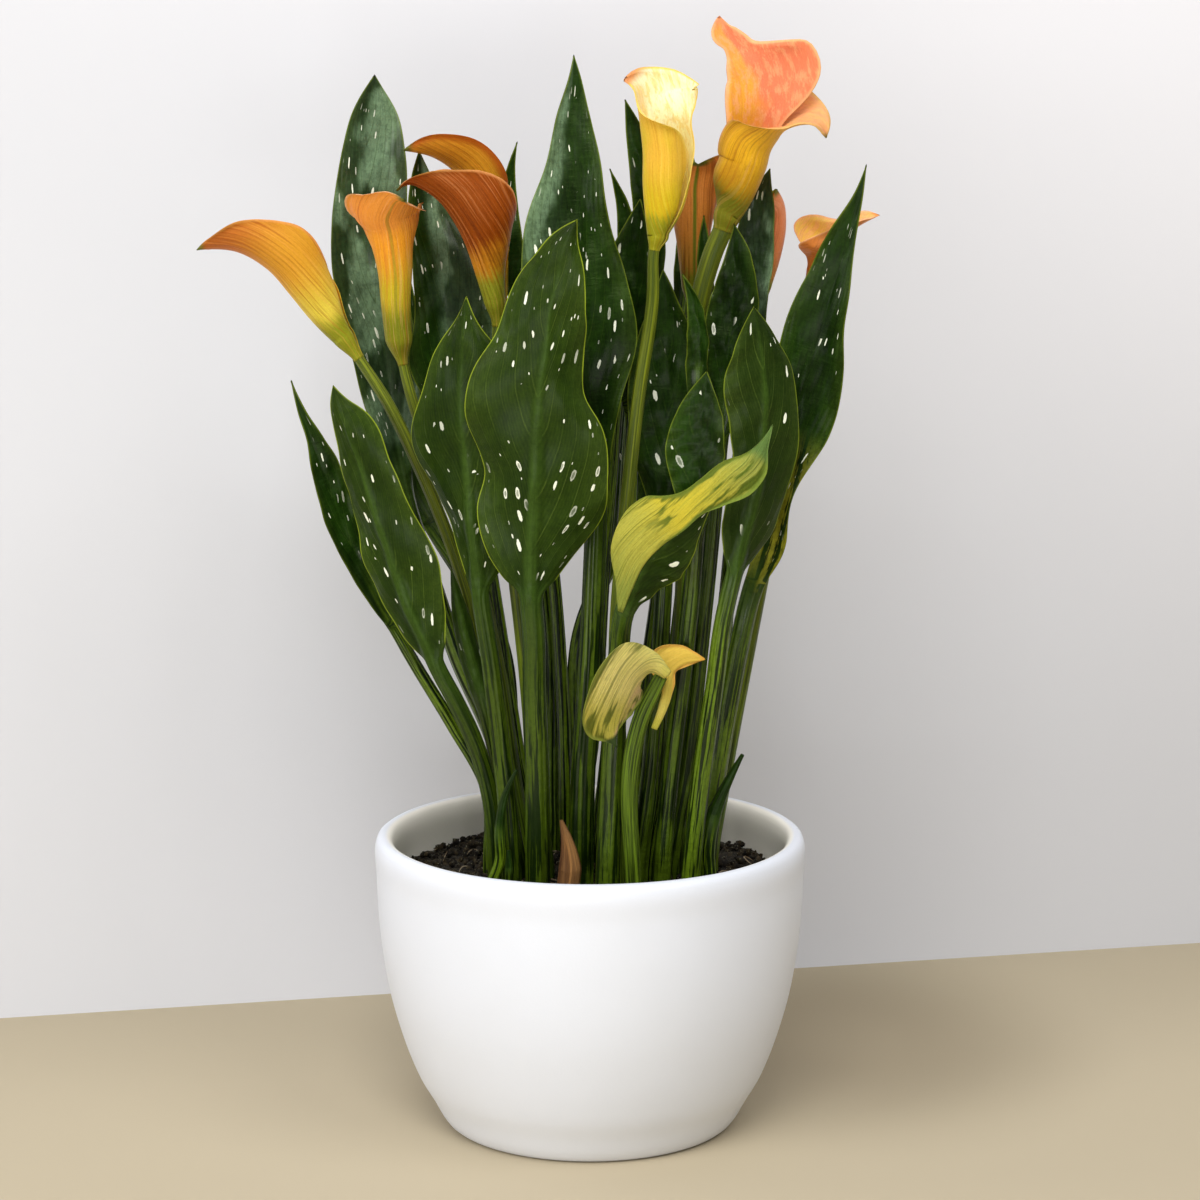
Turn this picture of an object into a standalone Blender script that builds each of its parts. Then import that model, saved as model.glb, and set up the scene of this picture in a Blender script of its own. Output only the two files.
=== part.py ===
"""A potted calla lily: a white round pot filled with soil, and a clump of spotted leaves and
orange and yellow blooms that stand in it. Metres, +Z up, the front towards -Y.

Every leaf, stalk, coloured bloom sheet and shoot is one closed body of its own. The tables
below hold millimetres, and the shapes are scaled to metres when they become objects."""

import bmesh
import bpy
import numpy as np
from mathutils import Matrix

MM = 0.001

# Pot, in millimetres: outside, lip and inside as radius and height, from the middle of the
# underside round to the middle of the floor inside.
POT_SIDES = 40
POT_PROFILE = [
    (0, 0), (65, 0), (67.4, 0.9), (69.6, 3.4), (75, 13), (80.3, 22), (85.2, 33.5), (89.1, 45),
    (93.5, 61), (96.8, 79), (98.9, 99), (99.8, 120), (100, 133.9), (98.8, 136.8), (95.9, 138),
    (93, 136.8), (91.8, 133.9), (91.5, 118), (89.8, 92), (86, 73), (80.5, 56), (72, 35),
    (62, 20), (48, 11), (0, 11),
]

# Soil: a plug that stays clear of the pot, with a lumpy top 20 mm below the rim. Its top is
# what lies above SOIL_TOP and inside SOIL_EDGE, raised and sunk by LUMP times three waves, each
# given by how fast it turns east and north, and where it starts. Each stem stands in a plain
# hole with HOLE_CLEAR round it.
SOIL_PROFILE = [
    (0, 11.3), (47.9, 11.3), (61.7, 20.2), (71.6, 35.1), (80.1, 56.1), (85.6, 73.1),
    (89.4, 92), (91.1, 115.5), (86, 116.6), (72, 117.4), (55, 118), (36, 118.6), (18, 118.8),
    (0, 118.8),
]
SOIL_EDGE = 91.0
SOIL_TOP = 116.0
LUMP = 0.45
LUMP_WAVES = [(0.11, 0.07, 0), (0.05, -0.13, 1.1), (0, 0.19, 2)]
HOLE_CLEAR = 0.45
HOLE_SIDES = 8
STEM_FOOT, STEM_FREE = 96.0, 120.0
HOLE_BOTTOM, HOLE_TOP = 95.5, 130.0

# Sheets: the thickness of every blade and bloom, and how far a leaf's midrib stands out.
EDGE = 0.8
RIB = 2.2
STEM_CURL = 60
LAST_RING = 0.997

# Blooms: how far a spathe's edges pass each other, and its points across and rings along. The
# stalk comes up from NECK_BELOW under the tube, fits in it, and ends as the spadix, whose radii
# belong to the given fractions of the spathe's length. A loose sheet is a bract or a torn piece.
SPATHE_TUCK, SPATHE_GRAIN = 0.15, (10, 9)
LOOSE_TUCK, LOOSE_GRAIN = 0.1, (7, 8)
NECK_BELOW = 7.0
NECK_FIT = 0.85
SPADIX_AT = [0.06, 0.12, 0.2, 0.3, 0.38]
SPADIX_RADII = [2.2, 2.0, 2.0, 1.8, 1.2]
SHORT_SPADIX_AT = 0.03
STALK_RINGS, OLD_STALK_RINGS = 10, 9
CURVE_SIDES = 2
SHORT_SPADIX = ("bloom_06", "bloom_09")

# How finely each kind of leaf is divided: points across, rings in the stem, rings in the blade.
LEAF_GRAIN = {"long": (5, 5, 12), "large": (5, 5, 10), "small": (4, 4, 7), "tiny": (4, 3, 4)}

# Leaves. First the grain, the side that the upper face looks to (1 front, -1 back), the waving
# of the edge (depth, number of waves, start), and the place and radius of the stem in the soil.
# Then the stem above the soil as x, y, z, radius. Then the blade to its tip as x, y, z, left
# and right half-width, curl and roll in degrees.
LEAVES = {
    "bract_green": (
        "small", -1, (0, 1, 0), (8, -41, 5.8),
        [(10, -42, 172, 5.6), (12, -43, 209, 5), (13, -46, 231, 4.4)],
        [
            (16, -53, 255, 3, 8.5, 35, 0), (24, -59, 274, 2, 18.5, 26, 0),
            (33, -62.5, 284, 2, 17, 24, 0), (42, -64, 292, 2, 10, 24, 0), (54, -65, 302, 0, 0, 24, 0),
        ],
    ),
    "leaf_01": (
        "large", 1, (3, 2.2, 0.1), (-38, 14, 5),
        [(-42, 16, 169, 4.6), (-63, 20, 220, 4.2), (-77, 23, 263, 3.8)],
        [
            (-85, 25, 289, 5, 5, 40, -18), (-90, 27, 314, 8, 8.5, 30, -18),
            (-93, 28, 337, 13, 13.5, 22, -18), (-97, 30, 370, 17.5, 15, 20, -18),
            (-103, 31, 402, 18.5, 17.5, 22, -13), (-104, 32, 427, 15, 20, 26, -10),
            (-103, 33, 453, 11.5, 18, 26, -13), (-101, 35, 472, 7.5, 11, 22, -18),
            (-99, 36, 487, 0, 0, 22, -18),
        ],
    ),
    "leaf_02": (
        "large", 1, (2.5, 2, 0.6), (-24, 12, 4.5),
        [(-34, 12, 169, 4.2), (-42, 12, 227, 3.8), (-49, 12, 274, 3.4)],
        [
            (-55, 13, 311, 4.5, 4.5, 30, -10), (-60, 13, 334, 12.5, 10.5, 24, -10),
            (-64, 13, 357, 20, 20, 24, -10), (-67, 14, 380, 14.5, 22, 24, -10),
            (-70, 16, 402, 12, 18, 24, -18), (-74, 18, 423, 10.5, 10, 24, -15),
            (-76, 20, 439, 6.5, 4.5, 20, -10), (-78, 21, 453, 0, 0, 20, -10),
        ],
    ),
    "leaf_03": (
        "small", 1, (0, 1, 0), (-12, 32, 3.2),
        [(-12, 34, 164, 3), (-16, 39, 241, 2.8), (-25, 46, 317, 2.4)],
        [
            (-31, 50, 363, 4.5, 4.5, 35, -20), (-37, 53, 405, 6, 6, 35, -20),
            (-39, 56, 429, 5, 5, 35, -20), (-37, 57, 444, 2, 2, 30, -20),
            (-34, 59, 456, 0, 0, 30, -20),
        ],
    ),
    "leaf_04": (
        "large", 1, (3, 2.4, 0.3), (-4, -20, 6),
        [(-3, -22, 168, 5.8), (0, -25, 215, 5.4), (2, -26, 261, 4.8)],
        [
            (3, -26, 298, 6.5, 6, 35, 0), (2, -25, 325, 14, 9, 28, 0), (0, -24, 345, 22, 15.5, 24, 0),
            (-1, -24, 370, 30.5, 23, 22, 0), (-3, -22, 397, 28.5, 19.5, 22, -4),
            (-6, -19, 421, 24, 15, 24, -6), (-7, -15, 445, 14, 12.5, 26, -4),
            (-8, -10, 469, 6.5, 8.5, 24, 0), (-7, -7, 485, 2.5, 3.5, 20, 0),
            (-7, -5, 496, 0, 0, 20, 0),
        ],
    ),
    "leaf_05": (
        "long", -1, (3.5, 3, 0), (-24, -27, 6),
        [(-24, -33, 170, 6), (-25, -39, 213, 5.6), (-25, -43, 237, 5)],
        [
            (-26, -46, 254, 5.5, 6, 35, 6), (-26, -50, 275, 20.5, 18.5, 30, 6),
            (-25, -53, 294, 26.5, 31.5, 26, 6), (-24, -56, 311, 24.5, 33, 24, 6),
            (-23, -59, 333, 32.5, 30, 22, 6), (-22, -61, 350, 32.5, 20.5, 22, 6),
            (-19, -63, 369, 25, 17, 22, 6), (-17, -65, 387, 20, 16.5, 24, 6),
            (-13, -67, 403, 14.5, 12, 24, 6), (-10, -69, 416, 7.5, 6, 20, 6),
            (-5, -71, 426, 0, 0, 20, 6),
        ],
    ),
    "leaf_06": (
        "large", -1, (2.5, 2.2, 0.4), (-36, -24, 4.6),
        [(-38, -25, 159, 4.6), (-41, -27, 188, 4.4), (-45, -30, 225, 4)],
        [
            (-49, -33, 253, 4.5, 5, 35, 22), (-52, -36, 279, 10, 15, 26, 22),
            (-54, -38, 303, 20, 21, 24, 22), (-56, -40, 327, 29, 24.5, 22, 22),
            (-57, -41, 347, 20.5, 23.5, 24, 22), (-56, -42, 367, 14, 17, 26, 22),
            (-55, -43, 379, 6, 7, 22, 22), (-54, -43, 391, 0, 0, 22, 22),
        ],
    ),
    "leaf_07": (
        "large", -1, (1.5, 2, 0.2), (-43, -14, 4.4),
        [(-46, -18, 160, 4.2), (-53, -22, 186, 4), (-61, -26, 205, 3.8)],
        [
            (-69, -28, 221, 4, 5.5, 30, 22), (-79, -30, 243, 11, 15, 22, 22),
            (-88, -32, 267, 15, 21, 20, 22), (-95, -33, 290, 14.5, 18, 20, 22),
            (-102, -34, 313, 11, 15, 20, 22), (-108, -35, 331, 7.5, 13, 22, 22),
            (-112, -35, 342, 4.5, 6, 20, 22), (-114, -36, 351, 0, 0, 20, 22),
        ],
    ),
    "leaf_08": (
        "small", 1, (0, 1, 0), (-47, 2, 3.2),
        [(-48, 0, 158, 3), (-64, -4, 190, 2.8), (-83, -6, 223, 2.6)],
        [
            (-99, -8, 254, 6.5, 8, 30, -30), (-112, -9, 281, 8, 8.5, 26, -30),
            (-120, -10, 305, 7, 8.5, 26, -30), (-126, -11, 323, 2.5, 6.5, 40, 0),
            (-131, -12, 337, 1.5, 2.5, 40, 0), (-135, -13, 351, 0, 0, 40, 0),
        ],
    ),
    "leaf_10": (
        "small", -1, (0, 1, 0), (-33, -9, 3.8),
        [(-39, -10, 155, 3.8), (-45, -13, 187, 3.8)],
        [
            (-50, -15, 208, 7, 6.5, 50, 0), (-56, -18, 230, 6, 6, 55, 0),
            (-60, -20, 249, 3.5, 4, 50, 0), (-63, -21, 266, 0, 0, 50, 0),
        ],
    ),
    "leaf_11": (
        "small", 1, (0, 1, 0), (3, 17, 3.6),
        [(8, 22, 167, 3.4), (15, 24, 263, 3.2), (20, 24, 338, 3)],
        [
            (26, 24, 389, 8.5, 8.5, 35, 18), (28, 24, 416, 8, 8, 30, 18),
            (25, 23, 439, 6.5, 7, 30, 18), (20, 22, 460, 3.5, 6, 30, 18), (16, 21, 476, 0, 0, 30, 18),
        ],
    ),
    "leaf_12": (
        "small", 1, (0, 1, 0), (-10, 12, 3.2),
        [(0, 12, 169, 3), (7, 10, 265, 2.8), (13, 9, 339, 2.6)],
        [
            (17, 9, 385, 6, 6, 35, 18), (18, 9, 413, 5.5, 5.5, 35, 18), (15, 10, 428, 3, 3.5, 30, 18),
            (9, 11, 445, 0, 0, 30, 18),
        ],
    ),
    "leaf_13": (
        "small", 1, (0, 1, 0), (8, -4, 4.2),
        [(10, -4, 173, 4), (16, -4, 248, 3.6), (19, -3, 318, 3.2)],
        [
            (21, -2, 359, 10, 9, 28, 18), (21, -1, 386, 12, 10, 26, 18), (21, 0, 406, 12, 8.5, 26, 18),
            (22, 1, 421, 5.5, 4.5, 24, 18), (23, 2, 432, 0, 0, 24, 18),
        ],
    ),
    "leaf_14": (
        "large", 1, (2, 2, 0.2), (23, -17, 4.4),
        [(29, -19, 176, 4.2), (33, -19, 242, 3.8)],
        [
            (35, -18, 288, 7, 7, 32, 15), (35, -17, 320, 16.5, 14.5, 26, 15),
            (36, -16, 347, 18.5, 14.5, 24, 15), (35, -15, 371, 13.5, 12.5, 24, 15),
            (34, -14, 388, 6, 6, 22, 15), (33, -13, 401, 0, 0, 22, 15),
        ],
    ),
    "leaf_15": (
        "small", 1, (0, 1, 0), (27, -8, 3),
        [(36, -14, 175, 2.8), (44, -23, 252, 2.6), (48, -31, 321, 2.4)],
        [
            (49, -33, 357, 6.5, 6, 60, 25), (49, -33, 373, 6, 6.5, 60, 25),
            (46, -32, 388, 3, 4.5, 50, 25), (41, -31, 400, 0, 0, 50, 25),
        ],
    ),
    "leaf_16": (
        "large", 1, (2, 2, 0.5), (37, -6, 4.4),
        [(45, -8, 174, 4.2), (53, -10, 249, 3.8), (58, -11, 305, 3.4)],
        [
            (61, -11, 342, 8, 8, 30, 18), (63, -11, 369, 11.5, 11.5, 24, 18),
            (65, -11, 389, 10.5, 12.5, 24, 18), (65, -11, 406, 4.5, 9.5, 24, 18),
            (65, -11, 421, 0, 0, 24, 18),
        ],
    ),
    "leaf_17": (
        "large", 1, (1.5, 2, 0.1), (46, 18, 4.4),
        [(56, 18, 168, 4.2), (64, 17, 245, 3.8), (70, 15, 316, 3.4)],
        [
            (74, 14, 353, 6.5, 5.5, 35, 25), (76, 13, 385, 9.5, 7.5, 30, 25),
            (77, 12, 408, 10.5, 8.5, 26, 25), (79, 12, 428, 8.5, 6, 26, 25),
            (82, 12, 445, 0, 0, 26, 25),
        ],
    ),
    "leaf_18": (
        "large", -1, (2.5, 2, 0.3), (46, -31, 4.6),
        [(50, -36, 166, 4.4), (56, -42, 214, 4.2), (60, -46, 247, 3.8)],
        [
            (64, -48, 266, 4.5, 5, 30, -18), (70, -49, 289, 12.5, 15.5, 26, -18),
            (75, -50, 310, 11.5, 17, 24, -18), (77, -51, 333, 14.5, 17.5, 22, -18),
            (77, -51, 352, 19, 16, 22, -18), (75, -51, 370, 13, 10.5, 22, -18),
            (72, -51, 387, 0, 0, 22, -18),
        ],
    ),
    "leaf_19": (
        "large", 1, (2.5, 2.6, 0.2), (54, -6, 5),
        [(58, -8, 164, 5.2), (64, -10, 203, 5), (69, -12, 231, 4.6)],
        [
            (74, -13, 255, 3.5, 7.5, 30, 20), (80, -14, 278, 5, 11, 26, 20),
            (86, -15, 301, 8, 8, 24, 20), (92, -16, 328, 14, 17, 22, 20),
            (98, -17, 354, 15.5, 18.5, 22, 20), (104, -18, 376, 16.5, 13, 22, 20),
            (110, -19, 396, 13, 8, 24, 20), (115, -20, 416, 8, 4.5, 26, 20),
            (120, -21, 434, 2.5, 2, 24, 20), (123, -22, 448, 0, 0, 24, 20),
        ],
    ),
    "leaf_22": (
        "small", 1, (0, 1, 0), (33, -30, 4.4),
        [(37, -33, 175, 4.2), (44, -39, 236, 3.8), (47, -42, 273, 3.4)],
        [
            (48, -44, 300, 9.5, 8, 28, 18), (49, -44, 323, 15.5, 12.5, 24, 18),
            (50, -43, 341, 10.5, 9.5, 24, 18), (52, -42, 358, 0, 0, 24, 18),
        ],
    ),
    "leaf_23": (
        "small", 1, (0, 1, 0), (20, 30, 3.6),
        [(22, 35, 164, 3.4), (34, 42, 260, 3.2), (42, 48, 345, 2.8)],
        [
            (46, 52, 392, 7, 7, 35, 28), (48, 55, 419, 6.5, 6.5, 32, 28),
            (48, 58, 436, 4.5, 4.5, 30, 28), (48, 60, 451, 0, 0, 30, 28),
        ],
    ),
    "leaf_24": (
        "small", 1, (0, 1, 0), (30, 11, 3),
        [(33, 13, 164, 2.9), (42, 14, 245, 2.8), (49, 12, 321, 2.4)],
        [
            (53, 11, 367, 5, 4.5, 40, 0), (53, 10, 394, 4.5, 4, 40, 0), (52, 10, 413, 2.5, 2.5, 35, 0),
            (52, 10, 424, 0, 0, 35, 0),
        ],
    ),
    "leaf_25": (
        "large", 1, (2, 2, 0.2), (-19, 40, 4.4),
        [(-19, 50, 161, 4.4), (-20, 59, 218, 4.2)],
        [
            (-27, 71, 284, 10.5, 10.5, 32, -15), (-30, 79, 322, 19.5, 19.5, 26, -15),
            (-28, 87, 355, 18.5, 19.5, 26, -15), (-24, 95, 384, 9.5, 10.5, 26, -15),
            (-21, 103, 405, 0, 0, 26, -15),
        ],
    ),
    "leaf_26": (
        "large", 1, (2, 2, 0.7), (-6, 42, 4.4),
        [(-6, 50, 161, 4.6), (-5, 58, 218, 4.4)],
        [
            (22, 69, 285, 11, 11, 32, 22), (27, 77, 318, 18.5, 18.5, 26, 22),
            (31, 84, 351, 16, 17, 26, 22), (33, 92, 379, 8, 8.5, 26, 22), (33, 99, 397, 0, 0, 26, 22),
        ],
    ),
    "leaf_27": (
        "large", 1, (2, 2, 0.5), (-36, 31, 4),
        [(-38, 38, 164, 4.2), (-42, 44, 216, 4.2)],
        [
            (-81, 61, 286, 9, 9, 32, -40), (-90, 69, 323, 15.5, 15.5, 26, -40),
            (-95, 76, 361, 17, 15.5, 26, -40), (-100, 84, 399, 10.5, 10.5, 26, -40),
            (-103, 90, 427, 0, 0, 26, -40),
        ],
    ),
    "sheath": (
        "tiny", -1, (0, 1, 0), (-10, -36, 5.2),
        [],
        [(-9, -37, 130, 6.5, 6.5, 60, 0), (-10, -38, 141, 4, 4.5, 60, 0), (-13, -39, 153, 0, 0, 60, 0)],
    ),
    "sprout_1": (
        "tiny", 1, (0, 1, 0), (55, -23, 3.8),
        [(54, -24, 135, 3.6)],
        [(56, -25, 149, 4, 4.5, 50, 0), (61, -26, 163, 2.5, 3.5, 50, 0), (70, -27, 181, 0, 0, 50, 0)],
    ),
    "sprout_2": (
        "tiny", 1, (0, 1, 0), (34, 18, 3.2),
        [(36, 18, 134, 3)],
        [(37, 18, 146, 2.5, 3, 50, 0), (39, 19, 158, 2, 2, 50, 0), (43, 20, 169, 0, 0, 50, 0)],
    ),
    "sprout_3": (
        "tiny", 1, (0, 1, 0), (-45, -30, 2.6),
        [(-41, -32, 132, 2.4)],
        [
            (-41, -34, 147, 2.5, 2.5, 50, 0), (-39, -35, 162, 2, 2.5, 50, 0),
            (-33, -36, 176, 0, 0, 50, 0),
        ],
    ),
    "sprout_4": (
        "tiny", 1, (0, 1, 0), (-37, -35, 1.8),
        [],
        [(-37, -35, 129, 1.5, 1.5, 50, 0), (-37, -35, 138, 0, 0, 50, 0)],
    ),
    "sprout_5": (
        "tiny", 1, (0, 1, 0), (25, 2, 2.6),
        [(26, 2, 143, 2.6)],
        [(26, 2, 157, 2.5, 2.5, 50, 0), (27, 2, 169, 2, 2, 50, 0), (27, 2, 179, 0, 0, 50, 0)],
    ),
}

# Blooms: how far the edges roll back, the place and radius of the stalk in the soil, the stalk
# above it as x, y, z, radius, and the coloured sheet along its back line, from the neck to
# the tip, as x, y, z, half-width of the unrolled sheet, curl, roll and lean.
BLOOMS = {
    "bloom_01": (
        0.2, (-39, 4, 3.2),
        [
            (-42, 1, 162, 3.2), (-49, -6, 221, 3), (-61, -13, 269, 2.9), (-77, -16, 311, 2.8),
            (-91, -18, 341, 2.7),
        ],
        [
            (-114, -18, 368, 17, 195, -112, 0), (-120, -19, 374, 23, 188, -112, 0),
            (-126, -20, 381, 29, 178, -112, 0), (-132, -22, 389, 30, 155, -112, 0),
            (-143, -24, 402, 28.5, 120, -112, 0), (-157, -25, 410, 18, 85, -112, 0),
            (-168, -25, 411, 7.5, 55, -112, 0), (-175, -25, 410, 0, 55, -112, 0),
        ],
    ),
    "bloom_02": (
        0.5, (-29, 3, 3.2),
        [
            (-35, 3, 162, 3.2), (-43, 3, 219, 3), (-55, 1, 271, 2.9), (-69, -4, 309, 2.7),
            (-80, -8, 339, 2.5),
        ],
        [
            (-86, -13, 369, 19.8, 195, 180, 0), (-87, -15, 384, 21, 190, 180, 0),
            (-87, -17, 398, 22.5, 175, 180, 0), (-88, -19, 410, 24, 150, 180, 0),
            (-89, -21, 418, 25, 112, 180, 0), (-90, -24, 423, 25, 86, 180, 0),
            (-88, -28, 428, 17, 62, 180, 0), (-85, -32, 432, 8, 45, 180, 0),
            (-81, -36, 432, 0, 45, 180, 0),
        ],
    ),
    "bloom_03": (
        0.2, (-20, -11, 3.6),
        [
            (-25, -10, 165, 3.6), (-30, -9, 221, 3.4), (-36, -8, 277, 3.3), (-40, -7, 327, 3.2),
            (-42, -8, 355, 3),
        ],
        [
            (-47, -10, 386, 17.5, 195, -110, 0), (-51, -12, 400, 25.5, 186, -110, 0),
            (-54, -15, 410, 33, 165, -110, 0), (-59, -18, 421, 39, 135, -110, 0),
            (-66, -20, 431, 28.5, 105, -110, 0), (-74, -22, 437, 15, 75, -110, 0),
            (-80, -22, 439, 6, 50, -110, 0), (-86, -22, 436, 0, 50, -110, 0),
        ],
    ),
    "bloom_04": (
        0.2, (-24, 26, 3.4),
        [(-27, 26, 157, 3.4), (-31, 26, 243, 3.2), (-36, 26, 319, 3), (-40, 25, 361, 2.8)],
        [
            (-46, 22, 390, 14.5, 195, -110, 0), (-48, 20, 407, 17.5, 185, -110, 0),
            (-53, 18, 427, 22.5, 150, -110, 0), (-61, 16, 443, 24, 105, -110, 0),
            (-71, 14, 450, 19, 75, -110, 0), (-85, 13, 453, 0, 75, -110, 0),
        ],
    ),
    "bloom_05": (
        0.1, (14, -23, 3.5),
        [
            (14, -26, 169, 3.5), (12, -31, 230, 3.4), (16, -37, 290, 3.2), (22, -40, 347, 3),
            (28, -38, 389, 2.8),
        ],
        [
            (26, -36, 417, 15, 195, -75, 0), (25, -36, 427, 26, 192, -75, 0),
            (24, -36, 440, 31, 182, -75, 0), (24, -36, 454, 30.5, 176, -75, 0),
            (23, -36, 464, 26, 141, -75, 0.17), (22, -36, 472, 22, 104, -75, 0.6),
            (21, -36, 476, 23, 97, -75, 0.82), (20, -36, 480, 14, 60, -75, 0.86),
            (18, -36, 483, 7, 42, -75, 0.88), (15, -36, 485, 0, 42, -75, 0.88),
        ],
    ),
    "bloom_06": (
        0.3, (41, 5, 5),
        [(39, 5, 161, 5), (44, 4, 247, 4.8), (46, 1, 322, 4.6), (50, -2, 386, 4.4), (56, -3, 408, 4.5)],
        [
            (67, -3, 422, 20.8, 195, 82, 0), (71, -3, 428, 29.5, 195, 82, 0),
            (75, -4, 436, 35, 185, 82, 0), (79, -5, 446, 34.5, 180, 82, 0),
            (81, -6, 454, 35, 164, 82, 0), (84, -7, 459, 35, 130, 82, -0.06),
            (87, -8, 463, 25, 86, 82, -0.2), (96, -10, 466, 16, 72, 82, -0.22),
            (102, -11, 465, 9, 60, 82, -0.15), (106, -11, 459, 0, 60, 82, -0.15),
        ],
    ),
    "bloom_07": (
        0.4, (22, 14, 3.2),
        [(27, 18, 158, 3.2), (35, 22, 244, 3), (42, 24, 319, 2.8), (47, 26, 363, 2.6)],
        [
            (48, 21, 391, 17, 195, 180, 0), (48, 18, 410, 24, 190, 180, 0),
            (48, 15, 426, 27, 150, 180, 0), (48, 13, 437, 26, 112, 180, 0),
            (49, 11, 444, 22, 85, 180, 0), (49, 5, 447, 0, 85, 180, 0),
        ],
    ),
    "bloom_08": (
        0.2, (38, 32, 3.2),
        [(53, 36, 154, 3.2), (63, 38, 232, 3), (71, 38, 308, 2.8), (77, 34, 360, 2.6)],
        [
            (84, 31, 391, 14.9, 195, 82, 0), (88, 30, 405, 22, 185, 82, 0),
            (90, 30, 418, 24, 150, 82, 0), (89, 29, 429, 16, 90, 82, 0), (86, 28, 435, 0, 90, 82, 0),
        ],
    ),
    "bloom_09": (
        0.35, (57, 11, 3.4),
        [(63, 14, 159, 3.4), (75, 16, 226, 3.2), (87, 18, 292, 3), (95, 17, 348, 2.8)],
        [
            (106, 14, 386, 16.5, 195, 82, 0), (109, 13, 397, 17, 184, 82, 0),
            (110, 12, 403, 17.5, 155, 82, 0.02), (112, 11, 408, 31, 112, 82, 0.03),
            (115, 10, 413, 21, 90, 82, 0.04), (119, 10, 417, 10.5, 76, 82, 0.05),
            (125, 9, 421, 8, 70, 82, 0), (132, 8, 424, 0, 70, 82, 0),
        ],
    ),
}

# The old bent stalk, and sheets that have no stalk of their own: the side that their hollow
# looks to, then rows as on a blade.
OLD_ROOT = (20, -45, 3.8)
OLD_STALK = [
    (18, -48, 174, 3.8), (20, -49, 190, 3.9), (24, -50, 205, 3.7), (29, -51, 216, 3.3),
    (32, -51, 222, 3),
]
LOOSE_SHEETS = {
    "bloom_06_inner": (
        1,
        [
            (64, -3, 429, 8.5, 8.5, 150, -20), (67, -2, 443, 11.5, 11.5, 125, -20),
            (69, -4, 454, 12.5, 12, 85, -15), (72, -6, 468, 12.5, 15.5, 48, -12),
            (72, -6, 478, 12, 27.5, 40, -8), (71, -5, 486, 10, 33, 36, -4),
            (69, -5, 491, 8, 27.5, 36, -2), (67, -4, 496, 6, 10.5, 34, 0),
            (64, -4, 501, 5, 6.5, 34, 0), (60, -4, 506, 6, 4.5, 34, 0), (58, -4, 513, 0, 0, 34, 0),
        ],
    ),
    "bract_yellow": (
        -1,
        [
            (14, -55.8, 252, 1.5, 1, 30, 0), (18, -59.2, 264, 7.5, 1.5, 30, 0),
            (23, -62.6, 275, 16.5, 1.5, 30, 0), (31, -65.3, 284, 21, 1.5, 28, 0),
            (40, -66.8, 291, 19, 1.5, 26, 0), (48, -67.5, 299, 11, 2.5, 26, 0),
            (55, -67.5, 305, 10, 5.5, 26, 0), (63, -67.5, 313, 9, 10, 24, 0),
            (70, -67, 319, 6, 9, 24, 0), (75, -67, 327, 2, 3.5, 24, 0), (80, -67, 337, 0, 0, 24, 0),
        ],
    ),
    "bloom_11_spathe": (
        -1,
        [
            (35, -55, 223, 2.5, 2.5, 40, 0), (28, -59, 228, 6, 7, 40, 0),
            (21, -64, 225, 15.5, 20, 26, 0), (15, -66, 215, 16.5, 23.5, 22, 0),
            (11, -64, 204, 12, 17, 24, 0), (11, -61, 196, 2.5, 4, 40, 0), (12, -59, 191, 0, 0, 40, 0),
        ],
    ),
    "bloom_11_flap": (
        -1,
        [
            (29, -47, 197, 1.5, 1.5, 30, 0), (33, -47.5, 208, 2, 2.5, 30, 0),
            (35, -47.7, 217, 3, 3, 30, 0), (37, -47.8, 224, 11.5, 2, 30, 0),
            (42, -48, 228, 8, 2.5, 30, 0), (47, -48, 229, 3.5, 2, 30, 0), (52, -48, 229, 0, 0, 30, 0),
        ],
    ),
}

# Plain colours, one for each body, and how rough each kind of body is.
POT_WHITE, POT_ROUGH = (0.86, 0.86, 0.85), 0.55
SOIL_BROWN, SOIL_ROUGH = (0.035, 0.022, 0.014), 0.95
LEAF_GREEN, LEAF_ROUGH = (0.035, 0.10, 0.035), 0.4
STALK_GREEN, STALK_ROUGH = (0.20, 0.30, 0.05), 0.4
SHEET_ROUGH = 0.5
LEAF_COLOURS = {
    "bract_green": (0.06, 0.16, 0.05),
    "sheath": (0.32, 0.13, 0.05),
    "sprout_5": (0.45, 0.42, 0.06),
}
BLOOM_COLOURS = {
    "bloom_01": (0.80, 0.42, 0.07),
    "bloom_02": (0.80, 0.36, 0.08),
    "bloom_03": (0.52, 0.15, 0.04),
    "bloom_04": (0.62, 0.24, 0.05),
    "bloom_05": (0.90, 0.66, 0.14),
    "bloom_06": (0.85, 0.42, 0.06),
    "bloom_07": (0.50, 0.17, 0.04),
    "bloom_08": (0.80, 0.34, 0.14),
    "bloom_09": (0.80, 0.34, 0.12),
}
SHEET_COLOURS = {
    "bloom_06_inner": (0.90, 0.38, 0.22),
    "bract_yellow": (0.72, 0.68, 0.14),
    "bloom_11_spathe": (0.70, 0.66, 0.30),
    "bloom_11_flap": (0.78, 0.62, 0.20),
}


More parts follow.
